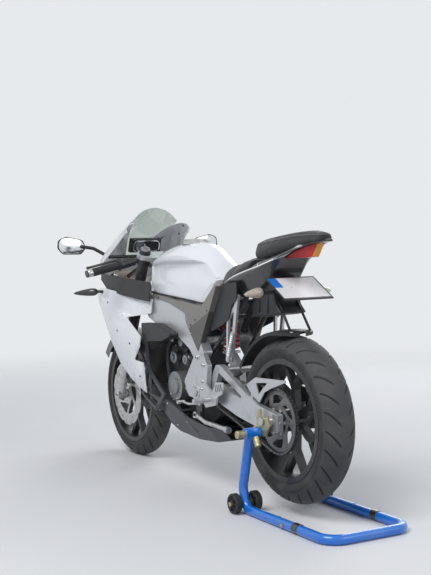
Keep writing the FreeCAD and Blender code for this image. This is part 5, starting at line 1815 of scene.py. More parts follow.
@dataclass
class Hull:
    """Closed body with smooth flanks and a crowned top, skinned over stations."""

    name: str
    stations: Sequence[Station]
    place: Callable[[float, float, float], Vector]
    hollow: float = 0.0
    shoulder_crease: float = 0.25
    foot_crease: float = 0.7
    flank_crease: float = 0.0
    end_crease: float = 0.6
    steps: int = 4

    def ring(self, row: Sequence[float]) -> list[Vector]:
        """Points of one cross-section, from the foot's middle up the left and down the right.

        Args:
            row: a station's numbers.

        Returns:
            The points.
        """
        x, foot, foot_z, flank, flank_z, shoulder, shoulder_z, crown_z = row
        rise = crown_z - shoulder_z
        half = [
            (0.0, foot_z), (foot * 0.6, foot_z), (foot, foot_z),
            ((foot + flank) / 2 - self.hollow * 0.5, (foot_z + flank_z) / 2),
            (flank, flank_z),
            ((flank + shoulder) / 2 - self.hollow, (flank_z + shoulder_z) / 2),
            (shoulder, shoulder_z),
            (shoulder * 0.72, shoulder_z + rise * 0.52),
            (shoulder * 0.38, shoulder_z + rise * 0.87),
            (0.0, crown_z),
        ]
        right = [(-y, z) for y, z in reversed(half[1:-1])]
        return [self.place(x, y, z) for y, z in half + right]

    def build(self) -> Obj:
        """Skin of the stations with its creases, subdivided.

        Returns:
            The body.
        """
        rows = catmull([astuple(s) for s in self.stations], self.steps)
        rings = [self.ring(row) for row in rows]
        count = len(rings[0])
        creases = {2: self.foot_crease, 4: self.flank_crease, 6: self.shoulder_crease}
        creases.update({count - j: value for j, value in list(creases.items())})
        made = rings_object(self.name, rings, True, creases, self.end_crease)
        modifier(made, "SUBSURF", levels=2, render_levels=2)
        return applied(made)


TANK = stations(
    (432, 84, 842, 90, 851, 84, 859, 866),
    (476, 90, 806, 93, 846, 84, 876, 898),
    (522, 96, 766, 92, 842, 84, 900, 942),
    (600, 106, 771, 96, 858, 86, 936, 998),
    (668, 114, 777, 101, 868, 108, 957, 1013),
    (760, 120, 784, 112, 872, 123, 957, 1015),
    (850, 124, 790, 118, 870, 127, 946, 1006),
    (925, 122, 796, 118, 866, 123, 930, 986),
    (972, 112, 800, 113, 862, 112, 908, 956),
)
TAIL = stations(
    (356, 80, 828, 102, 846, 94, 856, 861),
    (290, 84, 818, 104, 868, 97, 882, 888),
    (218, 82, 800, 106, 884, 95, 904, 911),
    (84, 74, 862, 98, 922, 84, 944, 952),
    (-12, 56, 950, 80, 958, 68, 972, 980),
    (-94, 40, 984, 58, 988, 46, 999, 1005),
    (-160, 24, 1003, 38, 1006, 29, 1013, 1018),
    (-226, 10, 1013, 17, 1016, 12, 1021, 1025),
)
RIDER_SEAT = stations(
    (429, 52, 812, 66, 844, 44, 874, 892),
    (362, 84, 842, 98, 856, 68, 898, 912),
    (284, 92, 862, 108, 882, 86, 912, 923),
    (215, 94, 884, 109, 908, 91, 931, 940),
    (156, 88, 908, 103, 928, 86, 943, 951),
)
PILLION = stations(
    (146, 76, 946, 86, 966, 72, 1006, 1014),
    (60, 80, 960, 91, 984, 75, 1018, 1027),
    (-82, 50, 988, 64, 1008, 50, 1036, 1044),
    (-206, 20, 1012, 33, 1026, 24, 1040, 1046),
)


@dataclass
class Seats:
    """Rider's seat and the high pillion pad, covered in grained vinyl, with piped seams."""

    fill: float = 0.75
    cord_radius: float = 2.0

    def seam(self, name: str, pad: Obj, route: Sequence[Vector], look: str) -> None:
        """Piping sewn on a pad.

        Args:
            name: piece's name.
            pad: the pad.
            route: points near its surface.
            look: finish.
        """
        skin = Skin(pad)
        dense = smooth_route(route, 5)
        line = [skin.nearest(p)[0] + skin.nearest(p)[1] * 0.4 * MM for p in dense]
        piping = tube_object(name, line, self.cord_radius * MM, 8)
        dress(piping, "chassis", "seat_cover", look)

    def build(self) -> None:
        """Both pads and their seams."""
        pads = {}
        for name, rows, node in (("rider_pad", RIDER_SEAT, "rider_seat"),
                                 ("pillion_pad", PILLION, "pillion_seat")):
            pad = Hull(name, rows, back, shoulder_crease=0.3, foot_crease=0.8,
                       flank_crease=0.2, end_crease=0.4).build()
            pads[name] = stuffed(pad)
            dress(pad, "chassis", "seat_cover", None, node)
        left = [back(s.x, s.shoulder, s.shoulder_z) for s in PILLION]
        front = [back(PILLION[0].x + 4, y, PILLION[0].shoulder_z + 4) for y in (-36, 0, 36)]
        rear = [back(PILLION[-1].x - 4, y, PILLION[-1].shoulder_z) for y in (20, -20)]
        right = [Vector((p.x, -p.y, p.z)) for p in reversed(left)]
        self.seam("pillion_piping", pads["pillion_pad"], [*front, *left, *rear, *right, front[0]],
                  "piping")
        for name, y in (("seat_seam_left", 52.0), ("seat_seam_right", -52.0)):
            route = [back(s.x, y * min(1.0, s.shoulder / 70), s.crown_z + 10) for s in RIDER_SEAT]
            self.seam(name, pads["rider_pad"], route, "seat_cover")


@dataclass
class Tank:
    """White fuel tank with its knee hollows, its filler well and a black strip at its foot."""

    hollow: float = 2.5
    filler_x: float = 755.0
    filler_z: float = 1004.0
    well_radius: float = 62.0
    press: float = 19.0
    rim: tuple = ((420, 850), (450, 882), (486, 912), (540, 932), (611, 940), (827, 936), (940, 924),
                  (989, 915))
    groove: float = 13.0
    raised: float = 7.0
    lip: tuple = ((420, 880), (450, 866), (489, 826), (526, 790), (560, 740))
    rim_edge: Flat = (0.0, 11.0)
    flank: Flat = (60.0, 95.0)
    fade: Flat = (22.0, 110.0)
    faded: float = 0.8
    rear_end: Flat = (424.0, 470.0)
    front_end: Flat = (940.0, 985.0)
    lip_edge: Flat = (0.0, 4.0)
    lip_end: Flat = (505.0, 530.0)
    lip_flank: Flat = (60.0, 80.0)
    groove_edge: Flat = (0.0, 12.0)
    groove_low: float = 14.0
    groove_end: Flat = (505.0, 545.0)

    def knee(self, ahead: float, out: float, up: float) -> float:
        """How far the flank is pressed in for the knee, or raised at the rear foot's lip.

        Args:
            ahead: place ahead of the rear axle.
            out: distance from the middle.
            up: height, all in millimetres.

        Returns:
            How far it goes in.
        """
        rim = between(ahead, self.rim)
        press = self.press * step_up(rim - up, *self.rim_edge) * step_up(out, *self.flank)
        press *= 1.0 - self.faded * step_up(rim - up, *self.fade)
        press *= step_up(ahead, *self.rear_end) * (1.0 - step_up(ahead, *self.front_end))
        lip = between(ahead, self.lip)
        rear = step_up(lip - up, *self.lip_edge) * (1.0 - step_up(ahead, *self.lip_end))
        low = step_up(lip + self.groove_low - up, *self.groove_edge)
        groove = self.groove * low * (1.0 - rear)
        groove *= 1.0 - step_up(ahead, *self.groove_end)
        proud = groove - self.raised * rear
        return press * (1.0 - rear) + proud * step_up(out, *self.lip_flank)

    def build(self) -> None:
        """Shell, foot strip and the filler's screws."""
        shell = Hull("tank_shell", TANK, back, hollow=self.hollow, shoulder_crease=0.5,
                     foot_crease=0.9, flank_crease=0.1, end_crease=0.45).build()
        well = turned_object("well", ((self.well_radius, 0.0), (self.well_radius, 40.0)),
                             back(self.filler_x, 0, self.filler_z), UP, 64)
        modifier(shell, "BOOLEAN", object=well, operation="DIFFERENCE", solver="EXACT")
        applied(shell)
        bpy.data.objects.remove(well)
        gridded(shell, 5.0, (436, 436), (800, 950))
        sculpted(shell, self.knee)
        dress(shell, "chassis", "white_paint", None, "fuel_tank")
        foot = [back(s.x, s.foot + 1.0, s.foot_z + 1.0) for s in TANK[1:]]
        strip = tube_object("tank_strip", smooth_route(foot, 4), 3.0 * MM, 10)
        dress(mirrored(strip), "chassis", "black_plastic", "soft_rubber")
        deck = back(self.filler_x, 0, self.filler_z + 14.0)
        rows = [Screw(deck + Vector((x * MM, y * MM, 0.0)), UP, 2.8)
                for x, y in (polar(56.0, 30 + 60 * k) for k in range(6))]
        screws("filler_screws", Head.SOCKET, rows, "chassis", "bright_steel", "bright_steel")


@dataclass
class FuelCapDetails:
    """Raised flap and keyhole cover on the fuel cap."""

    centre: Vector = field(default_factory=lambda: back(755, 0, 1024.3))

    def build(self) -> None:
        """Ring, dished middle and key flap."""
        profile = ((46.0, 0.0), (46.0, 1.6), (40.0, 2.4), (36.0, 2.4), (34.5, 1.2), (0.0, 1.2))
        disc = turned_object("cap_dish", profile, self.centre, UP, 64)
        flap = rounded_loop([(-26, -10), (14, -10), (14, 10), (-26, 10)], 9.0)
        key = rings_object("cap_flap", [[self.centre + Vector((x * MM, y * MM, z * MM))
                                         for x, y in flap] for z in (1.0, 4.2)])
        rounded_edges(key, 0.0008)
        dress(joined("cap_details", [disc, key]), "fuel_cap", "bright_steel")


@dataclass
class Tail:
    """Tail shell that narrows to its tip, and the lamp under it."""

    lamp: tuple = ((32, 60, 949), (-62, 50, 980), (-182, 10, 1008), (-166, 10, 984),
                   (-146, 10, 958), (-96, 42, 955))

    def build(self) -> Obj:
        """Shell and lamp.

        Returns:
            The shell, for what sits on it.
        """
        shell = Hull("tail_shell", TAIL, back, shoulder_crease=0.45, foot_crease=0.8,
                     flank_crease=0.3, end_crease=0.4).build()
        dress(shell, "chassis", "black_gloss", None, "tail_fairing")
        rings = [[back(x, half * side, z) for x, half, z in self.lamp] for side in (1, -1)]
        dress(rounded_edges(rings_object("tail_lens", rings), 0.002), "chassis", "red_lens", None,
              "tail_lamp")
        return shell


@dataclass
class UnderTray:
    """Tray under the tail that carries the plate's hanger, its lower edge rising to the rear."""

    half: float = 58.0
    outline: tuple = ((214, 722), (206, 796), (120, 862), (62, 862), (42, 780), (6, 748), (60, 738))

    def build(self) -> None:
        """Tray with rounded edges and two ribs on each flank."""
        tray = rounded_edges(prism("tray", self.outline, (self.half, -self.half)), 0.005)
        ribs = [prism("tray_rib", ((x, 744), (x + 5, 744), (x + 5, 838), (x, 838)),
                      (self.half - 1, self.half + 2.5)) for x in (92, 150)]
        tray = joined("tail_tray", [tray, mirrored(joined("ribs", ribs))])
        dress(tray, "chassis", "black_plastic", None, "plate_hanger")


@dataclass
class PanPlates:
    """Angular plates screwed on the belly pan's flanks."""

    outline: tuple = ((895, 283), (777, 342), (664, 330), (622, 262), (584, 222), (737, 218), (829, 238))
    proud: float = 1.6
    wall: float = 2.4
    step: float = 12.0

    def plate(self, skin: Skin, side: int) -> Obj:
        """Plate laid on one flank.

        Args:
            skin: the pan's surface.
            side: 1 for the left, -1 for the right.

        Returns:
            The plate.
        """
        flat = mesh_object("pan_plate", [back(x, 0, z) for x, z in self.outline],
                           [tuple(range(len(self.outline)))])
        gridded(flat, self.step, (590, 890), (222, 340))
        for vertex in flat.data.vertices:
            ahead = (vertex.co.x - REAR_AXLE.x) / MM
            found = skin.side(ahead, vertex.co.z / MM, side)
            near = Vector((vertex.co.x, 0.15 * side, vertex.co.z))
            at, out = found if found else skin.nearest(near)
            vertex.co = at + Vector((0.0, out.y, out.z * 0.3)).normalized() * self.proud * MM
        with editing(flat.data) as work:
            bmesh.ops.recalc_face_normals(work, faces=work.faces)
            if work.faces[:][0].normal.y * side < 0:
                bmesh.ops.reverse_faces(work, faces=work.faces)
        modifier(flat, "SOLIDIFY", thickness=self.wall * MM, offset=-1.0)
        return smooth_by_angle(applied(flat), 30.0)

    def build(self) -> None:
        """Both plates and their screws."""
        skin = Skin("belly_pan")
        plates = [self.plate(skin, side) for side in (1, -1)]
        both = joined("pan_plates", plates)
        dress(both, "chassis", None, "grey_plastic")
        rows = on_both_sides(Skin(both), ((860, 288, 4.5), (776, 326, 4.5), (640, 262, 4.0),
                                          (760, 232, 4.0)))
        screws("pan_screws", Head.DOME, rows, "chassis", None, "bright_steel")


@dataclass
class Hugger:
    """Crowned blade over the rear tyre with rolled edges and a rounded end, and its two stays."""

    radius: float = 330.0
    wall: float = 3.0
    crown: float = 7.0
    lip: float = 13.0
    half: float = 78.0
    angles: tuple = (32.0, 99.0)
    tip: float = 11.0
    blunt: float = 0.04
    steps: int = 30
    across: int = 10

    def ring(self, angle: float) -> list[Vector]:
        """Cross-section of the blade.

        Args:
            angle: its angle over the axle, in degrees.

        Returns:
            Its points.
        """
        left = self.angles[1] - angle
        half = self.half * sqrt(max(self.blunt, 1.0 - (1.0 - min(1.0, left / self.tip)) ** 2))
        spread = [half * (1 - 2 * k / self.across) for k in range(self.across + 1)]
        top = [(y, self.radius + self.crown * (1 - (y / half) ** 2)) for y in spread]
        under = [(y * (1 - self.wall / half), r - self.wall) for y, r in reversed(top)]
        ends = ((-half, self.radius - self.lip), (self.wall - half, self.radius - self.lip))
        rows = [(half, self.radius - self.lip), *top, *ends, *under,
                (half - self.wall, self.radius - self.lip)]
        return [REAR_AXLE + Vector(self.turn(angle, r, y)) for y, r in rows]

    @staticmethod
    def turn(angle: float, radius: float, y: float) -> Point:
        """Place in metres about the axle.

        Args:
            angle: angle in degrees.
            radius: in millimetres.
            y: to the left, in millimetres.

        Returns:
            The place.
        """
        along, up = polar(radius * MM, angle)
        return along, y * MM, up

    def build(self) -> None:
        """Blade from its front end to its tip."""
        low, high = self.angles
        rings = [self.ring(low + (high - low) * k / self.steps) for k in range(self.steps + 1)]
        blade = smooth_by_angle(rings_object("hugger_blade", rings), 40.0)
        stay = tube_object("stay", [back(62, 40, 812), back(-40, 44, 676)], 5.0 * MM, 14)
        feet = [Screw(back(-40, y, 679), UP, 6.0) for y in (44, -44)]
        dress(joined("hugger_shape", [blade, mirrored(stay)]), "chassis", "black_plastic", None,
              "hugger")
        screws("stay_feet", Head.HEXAGON, feet, "chassis", None, "bright_steel")


@dataclass
class SideFairings:
    """White side fairings, their upper rear corner folded inwards."""

    fold: tuple = ((1040, 680), (1219, 724))
    depth: float = 30.0
    length: float = 330.0
    start: float = 6.0
    curve: float = 0.75
    edge: Flat = (0.0, 14.0)
    flank: Flat = (140.0, 176.0)

    def inwards(self, ahead: float, out: float, up: float) -> float:
        """How far the skin goes in above the fold.

        Args:
            ahead: place ahead of the rear axle.
            out: distance from the middle.
            up: height, all in millimetres.

        Returns:
            How far it goes in.
        """
        (x0, z0), (x1, z1) = self.fold
        line = z0 + (z1 - z0) * (ahead - x0) / (x1 - x0)
        rear = max(0.0, min(1.0, (x1 + self.start - ahead) / self.length)) ** self.curve
        return self.depth * rear * step_up(up - line, *self.edge) * step_up(out, *self.flank)

    def build(self) -> None:
        """Both fairings."""
        made = merged_copy("side_fairings", "side_fairings_folded")
        rounded_edges(made, 0.0014)
        applied(made)
        gridded(made, 8.0, (884, 1236), (652, 804))
        dress(sculpted(made, self.inwards, 30.0), "chassis", "white_paint", None, "side_fairings")


@dataclass
class RimLipHighlights:
    """Turned pale metal rings on both edges of both rims: a painted highlight along the lips of the
    black rims.
    """

    radius: float = 228.5
    lip: tuple = ((-4.0, -5.0), (1.6, -0.5), (1.6, 1.2), (-0.5, 2.2), (-4.0, -2.0), (-6.5, -5.0))

    def build(self) -> None:
        """Four rings."""
        for body, axle, half in (("rear_wheel", REAR_AXLE, 59.5),
                                 ("front_wheel", FRONT_AXLE, 42.5)):
            rings = []
            for side in (1, -1):
                profile = [(self.radius + further, out) for further, out in self.lip]
                rings.append(turned_object("lip", profile,
                                           axle + LEFT * side * half * MM, LEFT * side, 96, True))
            # painted highlight: grey metal rings where the rims' lips catch the light
            dress(joined(body + "_lips", rings), body, None, "cover_metal")


@dataclass
class TailStripeAndReflection:
    """Light lines on the tail: a broad one that tapers to the lamp, a painted reflection on the glossy
    shell, and a thin one under it.
    """

    shell: Obj
    # height of the broad band, the painted reflection
    tall: float = 21.0
    thin: float = 5.0
    proud: float = 0.7

    def line(self, skin: Skin, route: Sequence[Point], side: int) -> Obj:
        """Strip on a skin.

        Args:
            skin: surface under it.
            route: rows of (ahead, up, height) in millimetres.
            side: 1 for the left, -1 for the right.

        Returns:
            The strip.
        """
        rings = []
        for x, z, height in catmull(route, 6):
            edges = [skin.side(x, z + share * height / 2, side) for share in (-1, 1)]
            if None in edges:
                continue
            (low, low_out), (high, high_out) = edges
            rings.append([low - low_out * 2 * MM, low + low_out * self.proud * MM,
                          high + high_out * self.proud * MM, high - high_out * 2 * MM])
        return smooth_by_angle(rings_object("stripe", rings), 40.0)

    def build(self) -> None:
        """Both lines on both sides."""
        skin = Skin(self.shell)
        low = ((330, 862, 3.5), (262, 884, self.thin), (180, 905, self.thin), (96, 924, self.thin),
               (-12, 958, self.thin), (-90, 989, self.thin), (-124, 998, 2.5))
        # painted reflection: broad white band where the glossy black shell reflects its bright
        # surroundings
        broad = ((114, 931, 5.0), (92, 937, self.tall), (0, 967, self.tall * 0.8),
                 (-64, 987, self.tall * 0.5), (-112, 1000, 4.0))
        pieces = [self.line(skin, route, side) for route in (low, broad) for side in (1, -1)]
        dress(joined("tail_stripes", pieces), "chassis", None, "white_paint")


@dataclass
class Plate:
    """Blank number plate in its black frame, with a plain blue band."""

    top: Vector = field(default_factory=lambda: back(33, 0, 878))
    wide: float = 200.0
    tall: float = 151.0
    slant: float = 30.0
    rim: float = 4.0
    band: float = 38.0
    margin: float = 7.0

    def directions(self) -> tuple[Vector, Vector]:
        """Directions down the plate's face and out from it."""
        lean = radians(self.slant)
        return Vector((-cos(lean), 0.0, -sin(lean))), Vector((-sin(lean), 0.0, cos(lean)))

    def slab(self, name: str, left: float, right: float, down: float, low: float, bottom: float,
             top: float) -> Obj:
        """Flat box on the plate, in millimetres.

        Args:
            name: piece's name.
            left: left edge from the middle.
            right: right edge.
            down: upper edge from the top, down the face.
            low: lower edge.
            bottom: rear face, out from the plate.
            top: front face.

        Returns:
            The box.
        """
        along, out = self.directions()
        ring = rounded_loop([(left, down), (right, down), (right, low), (left, low)], 5.0)
        rings = [[self.top + (LEFT * across + along * fall + out * rise) * MM
                  for across, fall in ring] for rise in (bottom, top)]
        return rounded_edges(rings_object(name, rings), 0.0005)

    def build(self) -> None:
        """Plate, frame, band and its two screws."""
        half, rim = self.wide / 2 + self.margin, self.rim
        dress(self.slab("plate_face", half - 2, 2 - half, 2, self.tall - 3, 0.0, 2.0),
              "chassis", "plate_white", None, "number_plate")
        bars = [
            self.slab("frame_bar", half, half - rim, 0, self.tall, -2.0, 3.2),
            self.slab("frame_bar", rim - half, -half, 0, self.tall, -2.0, 3.2),
            self.slab("frame_bar", half, -half, 0, rim, -2.0, 3.2),
            self.slab("frame_bar", half, -half, self.tall - rim - 6, self.tall, -2.0, 3.6),
            self.slab("frame_back", half - 2, 2 - half, 2, self.tall - 2, -2.0, -0.2),
        ]
        dress(joined("plate_frame", bars), "chassis", "black_plastic")
        dress(self.slab("plate_band", half - rim, half - rim - self.band, rim, self.tall * 0.45,
                        1.6, 2.3), "chassis", None, "blue_paint")
        along, out = self.directions()
        rows = [Screw(self.top + (LEFT * y + along * 75 + out * 2.0) * MM, out, 4.5)
                for y in (30, -60)]
        screws("plate_screws", Head.DOME, rows, "chassis", None, "chrome")


@dataclass
class Indicators:
    """Turn signals: clear at the rear with an amber bulb inside, dark at the front."""

    rear_start: Vector = field(default_factory=lambda: back(44, 110.9, 828))
    rear_end: Vector = field(default_factory=lambda: back(40, 194, 822))
    rear_radius: float = 20.0
    front_start: Vector = field(default_factory=lambda: fore(-38, 222, 789))
    front_end: Vector = field(default_factory=lambda: fore(34, 312, 781))
    front_radius: float = 18.0
    taper: tuple = ((0.0, 0.5), (0.1, 0.9), (0.28, 1.0), (0.62, 0.74), (0.9, 0.36), (1.0, 0.05))

    def drop(self, name: str, start: Vector, end: Vector, radius: float,
             span: Flat = (0.0, 1.0)) -> Obj:
        """Pointed round body between two points, or a stretch of it.

        Args:
            name: piece's name.
            start: its root.
            end: its tip.
            radius: largest radius in millimetres.
            span: stretch that is made, 0 to 1.

        Returns:
            The body.
        """
        along = end - start
        rows = [row for row in catmull(self.taper, 5) if span[0] <= row[0] <= span[1]]
        profile = [(radius * MM * grow, along.length * far) for far, grow in rows]
        return turned_object(name, profile, start, along, 28, unit=1.0)

    def build(self) -> None:
        """Both pairs."""
        rear = (self.rear_start, self.rear_end)
        lens = mirrored(self.drop("rear_signals", *rear, self.rear_radius))
        dress(lens, "chassis", "clear_lens", None, "indicators")
        bulb = mirrored(self.drop("signal_bulbs", *rear, self.rear_radius * 0.55, (0.08, 0.66)))
        dress(bulb, "chassis", None, "amber_lens")
        collar = mirrored(self.drop("signal_collars", *rear, self.rear_radius * 1.03, (0.0, 0.14)))
        dress(collar, "chassis", "black_plastic")
        front = self.drop("front_signals", self.front_start, self.front_end, self.front_radius)
        dress(mirrored(front), "chassis", None, "black_gloss")
        stalk = tube_object("signal_stalks", [fore(-62, 204.5, 789), fore(-34, 226, 789)],
                            6.5 * MM, 16)
        dress(mirrored(stalk), "chassis", "black_plastic", "soft_rubber")


@dataclass
class Mirrors:
    """Glass in the backs of both mirrors."""

    x: float = -48.5
    y: float = 354.0
    z: float = 1003.0
    inset: float = 0.93
    shape: tuple = ((-76, -12), (-50, -40), (40, -38), (64, -10), (60, 30), (20, 44), (-60, 26))

    def build(self) -> None:
        """Left and right glass, each slightly proud of its shell."""
        loop = rounded_loop(self.shape, 22.0)
        rings = [[fore(self.x + ahead, self.y + grow * y, self.z + grow * z) for y, z in loop]
                 for ahead, grow in ((2.0, self.inset), (-0.3, self.inset),
                                     (-0.9, self.inset - 0.03))]
        glass = mirrored(smooth_by_angle(rings_object("mirrors_glass", rings), 30.0))
        dress(glass, "chassis", None, "mirror_glass")


@dataclass
class ScreenEdgeHighlight:
    """Pale bead round the free edge of the windscreen: a painted highlight for the bright line where the
    edge catches the light.
    """

    rows: tuple = ((44, 44, 940, 956), (-30, 92, 1000, 1030), (-110, 116, 1062, 1102),
                   (-206, 112, 1112, 1172))
    bead: float = 1.7

    def build(self) -> None:
        """Bead up the left edge, over the top and down the right."""
        side = [fore(x, half, edge) for x, half, edge, _ in self.rows]
        dense = smooth_route(side, 5)
        x, half, edge, crown = self.rows[-1]
        rise = crown - edge
        radius = (half * half + rise * rise) / (2 * rise)
        reach = asin(half / radius)
        sunk = radius - self.bead - 0.3
        top = [fore(x, sunk * sin(reach * s), crown - radius + sunk * cos(reach * s))
               for s in (1 - k / 10 for k in range(1, 20))]
        other = [Vector((p.x, -p.y, p.z)) for p in reversed(dense)]
        # the bead is a painted highlight along the screen's free edge
        dress(tube_object("screen_bead", [*dense, *top, *other], self.bead * MM, 8), "chassis",
              None, "screen_edge")


@dataclass
class Headlamps:
    """Reflectors behind the lens."""

    def build(self) -> None:
        """Three dished reflectors facing ahead."""
        bowls = []
        for y, z, radius in ((52.0, 846.0, 24.0), (-52.0, 846.0, 24.0), (0.0, 852.0, 18.0)):
            profile = ((0.35, -0.7), (0.7, -0.45), (1.0, 0.0), (1.06, 0.0), (1.06, -0.1))
            bowls.append(turned_object("bowl", [(radius * r, radius * f) for r, f in profile],
                                       fore(112, y, z), Vector((1, 0, 0)), 32))
        dress(joined("lamp_bowls", bowls), "chassis", None, "chrome")


@dataclass
class Dash:
    """Instrument panel: a silver bezel, a dark glass and a plain round dial."""

    centre: Vector = field(default_factory=lambda: fore(-108, 0, 997))
    lean: float = -21.2

    def build(self) -> None:
        """Bezel, glass and dial on the panel's rear face."""
        lean = radians(self.lean)
        out = Vector((-cos(lean), 0.0, sin(lean)))
        up = Vector((sin(lean), 0.0, cos(lean)))

        def face(loop: Sequence[Flat], far: float) -> list[Vector]:
            """Outline on the panel, some way out from it."""
            return [self.centre + (LEFT * y + up * z + out * far) * MM for y, z in loop]

        outline = rounded_loop([(-70, -26), (70, -26), (66, 28), (-66, 28)], 20.0)
        inner = [(y * 0.93, z * 0.86) for y, z in outline]
        bezel = rings_object("dash_bezel", [face(outline, -2), face(outline, 5), face(inner, 6),
                                            face(inner, 1)])
        dress(smooth_by_angle(bezel, 30.0), "chassis", None, "chrome")
        glass = rings_object("dash_glass", [face(inner, 0), face(inner, 3.0)])
        dress(smooth_by_angle(glass, 30.0), "chassis", None, "black_gloss")
        profile = ((24.0, 0.0), (24.5, 2.2), (22.5, 2.6), (21.5, 1.2), (0.0, 1.2))
        dial = turned_object("dash_dial", profile,
                             self.centre + (LEFT * 32 + out * 3.0) * MM, out, 40)
        dress(dial, "chassis", None, "chrome")
        needle = [Screw(self.centre + (LEFT * (32 + y) + up * z + out * 4.3) * MM, out, 1.3)
                  for y, z in (polar(17.5, 240 - 30 * k) for k in range(10))]
        screws("dial_marks", Head.DOME, needle, "chassis", None, "black_gloss")


# Bars and fork


@dataclass
class Bars:
    """What dresses the bars: ribbed grips, bar ends, lever balls and switch buttons."""

    root: tuple = (-272.0, 122.0, 934.0)
    end: tuple = (-276.0, 376.0, 880.0)
    grip: float = 17.0
    ribs: int = 34
    grip_start: float = 0.100
    grip_stop: float = 0.031
    collar_at: float = 0.0955
    weight_at: float = 0.0275
    perch_at: float = 0.034
    lever: Flat = (0.050, 0.190)
    ball: float = 7.5
    pod: float = 0.0196
    buttons: tuple = ((0.055, 5.0), (0.069, 4.0), (0.083, 5.5))

    def sleeve(self, name: str, start: Vector, stop: Vector, radius: float, count: int,
               height: float) -> Obj:
        """Round sleeve whose rings repeat along it.

        Args:
            name: piece's name.
            start: one end.
            stop: other end.
            radius: radius between the rings, in millimetres.
            count: number of rings.
            height: how far they stand out.

        Returns:
            The sleeve.
        """
        length = (stop - start).length
        step = length / count
        low, high = radius * MM, (radius + height) * MM
        profile = []
        for k in range(count):
            at = k * step
            profile += [(low, at), (high, at + step * 0.14), (high, at + step * 0.55),
                        (low, at + step * 0.7)]
        profile.append((low, length))
        return turned_object(name, profile, start, stop - start, 28, unit=1.0)

    def build(self) -> None:
        """Both sides."""
        root, end = fore(*self.root), fore(*self.end)
        along = (end - root).normalized()
        ahead = (FORK_AHEAD - along * FORK_AHEAD.dot(along)).normalized()
        up = ahead.cross(along)
        if up.z < 0:
            up = -up
        grips = self.sleeve("grip_ribs", root + along * self.grip_start,
                            end - along * self.grip_stop, self.grip, self.ribs, 1.0)
        collar = turned_object("grip_collar", ((21.0, 0.0), (24.0, 1.0), (24.0, 4.5), (21.0, 5.5)),
                               root + along * self.collar_at, along, 28)
        dress(mirrored(joined("grips_ribbed", [grips, collar])), "steering", "soft_rubber")
        profile = ((16.5, 0.0), (17.0, 2.0), (17.0, 20.0), (13.0, 26.0), (6.0, 27.4))
        weight = turned_object("bar_ends", profile, end - along * self.weight_at, along, 32)
        dress(mirrored(weight), "steering", "silver_frame", "bright_steel")
        tip = root + along * self.perch_at + ahead * self.lever[0] + along * self.lever[1]
        round_end = [(self.ball * sin(radians(a)), self.ball * (1 - cos(radians(a))))
                     for a in range(10, 180, 20)]
        ball = turned_object("lever_balls", round_end, tip - along * 0.004, along, 20)
        dress(mirrored(ball), "steering", "black_metal")
        faced = up * 0.55 - ahead * 0.83
        buttons = [Screw(root + along * far + faced * self.pod, faced.normalized(), size)
                   for far, size in self.buttons]
        buttons += [Screw(Vector((b.at.x, -b.at.y, b.at.z)), Vector((b.out.x, -b.out.y, b.out.z)),
                          b.radius) for b in buttons]
        screws("switch_buttons", Head.HEXAGON, buttons, "steering", None, "grey_plastic")


@dataclass
class ForkDetails:
    """Caps, nuts, seals and bolts on the yokes and legs, and the front brake hose."""

    spread: float = 97.0
    top: float = 746.0
    split: float = 235.0
    offset: float = 30.0
    cap: tuple = ((22.0, 0.0), (22.0, 5.0), (19.5, 9.4), (8.0, 9.4), (8.0, 15.0), (6.0, 16.0))
    nut: tuple = ((21.0, 0.0), (21.0, 3.0), (18.0, 5.0), (18.0, 14.0), (14.0, 15.5))
    seal: tuple = ((21.0, 0.0), (25.0, 1.5), (25.0, 6.0), (26.0, 7.0), (26.0, 12.0))
    hose: tuple = ((-36, 62, 560), (-38, 84, 520), (-36, 88, 400), (-36, 88, 290), (-35, 78, 210),
                   (-32, 68, 158))

    def turned(self, name: str, ahead: float, y: float, up: float,
               profile: Sequence[Flat], sides: int = 32) -> Obj:
        """Turned piece on the fork's own axes, in millimetres.

        Args:
            name: piece's name.
            ahead: ahead of the front axle.
            y: to the left.
            up: up the fork.
            profile: rows of (radius, distance up).
            sides: number of its sides.

        Returns:
            The piece.
        """
        return turned_object(name, profile, on_fork(ahead, y, up), FORK_UP, sides)

    def build(self) -> None:
        """All of them on the steering."""
        caps, seals = ([self.turned(name, 0, y, up, profile) for y in (self.spread, -self.spread)]
                       for name, up, profile in (("cap", self.top, self.cap),
                                                 ("seal", self.split - 7, self.seal)))
        nut = self.turned("stem_cap", -self.offset, 0, 728.3, self.nut)
        dress(joined("fork_caps", caps), "steering", None, "cover_metal")
        dress(nut, "steering", None, "black_metal")
        dress(joined("fork_seals", seals), "steering", None, "soft_rubber")
        rows = [Screw(on_fork(-37.0, side * (self.spread + further), up), -FORK_AHEAD, 5.0)
                for side in (1, -1) for up in (716.0, 540.0) for further in (12, -12)]
        caliper = Skin("front_caliper")
        for x, z in ((-98, 385), (-62, 420), (-88, 412)):
            found = caliper.side(WHEELBASE + x, z, 1)
            if found:
                rows.append(Screw(found[0], found[1], 5.5))
        screws("fork_bolts", Head.SOCKET, rows, "steering", "bright_steel", "bright_steel")
        hose = tube_object("brake_hose", smooth_route((on_fork(*p) for p in self.hose), 6),
                           3.2 * MM, 10)
        dress(hose, "steering", None, "soft_rubber")


# Frame, engine and fittings


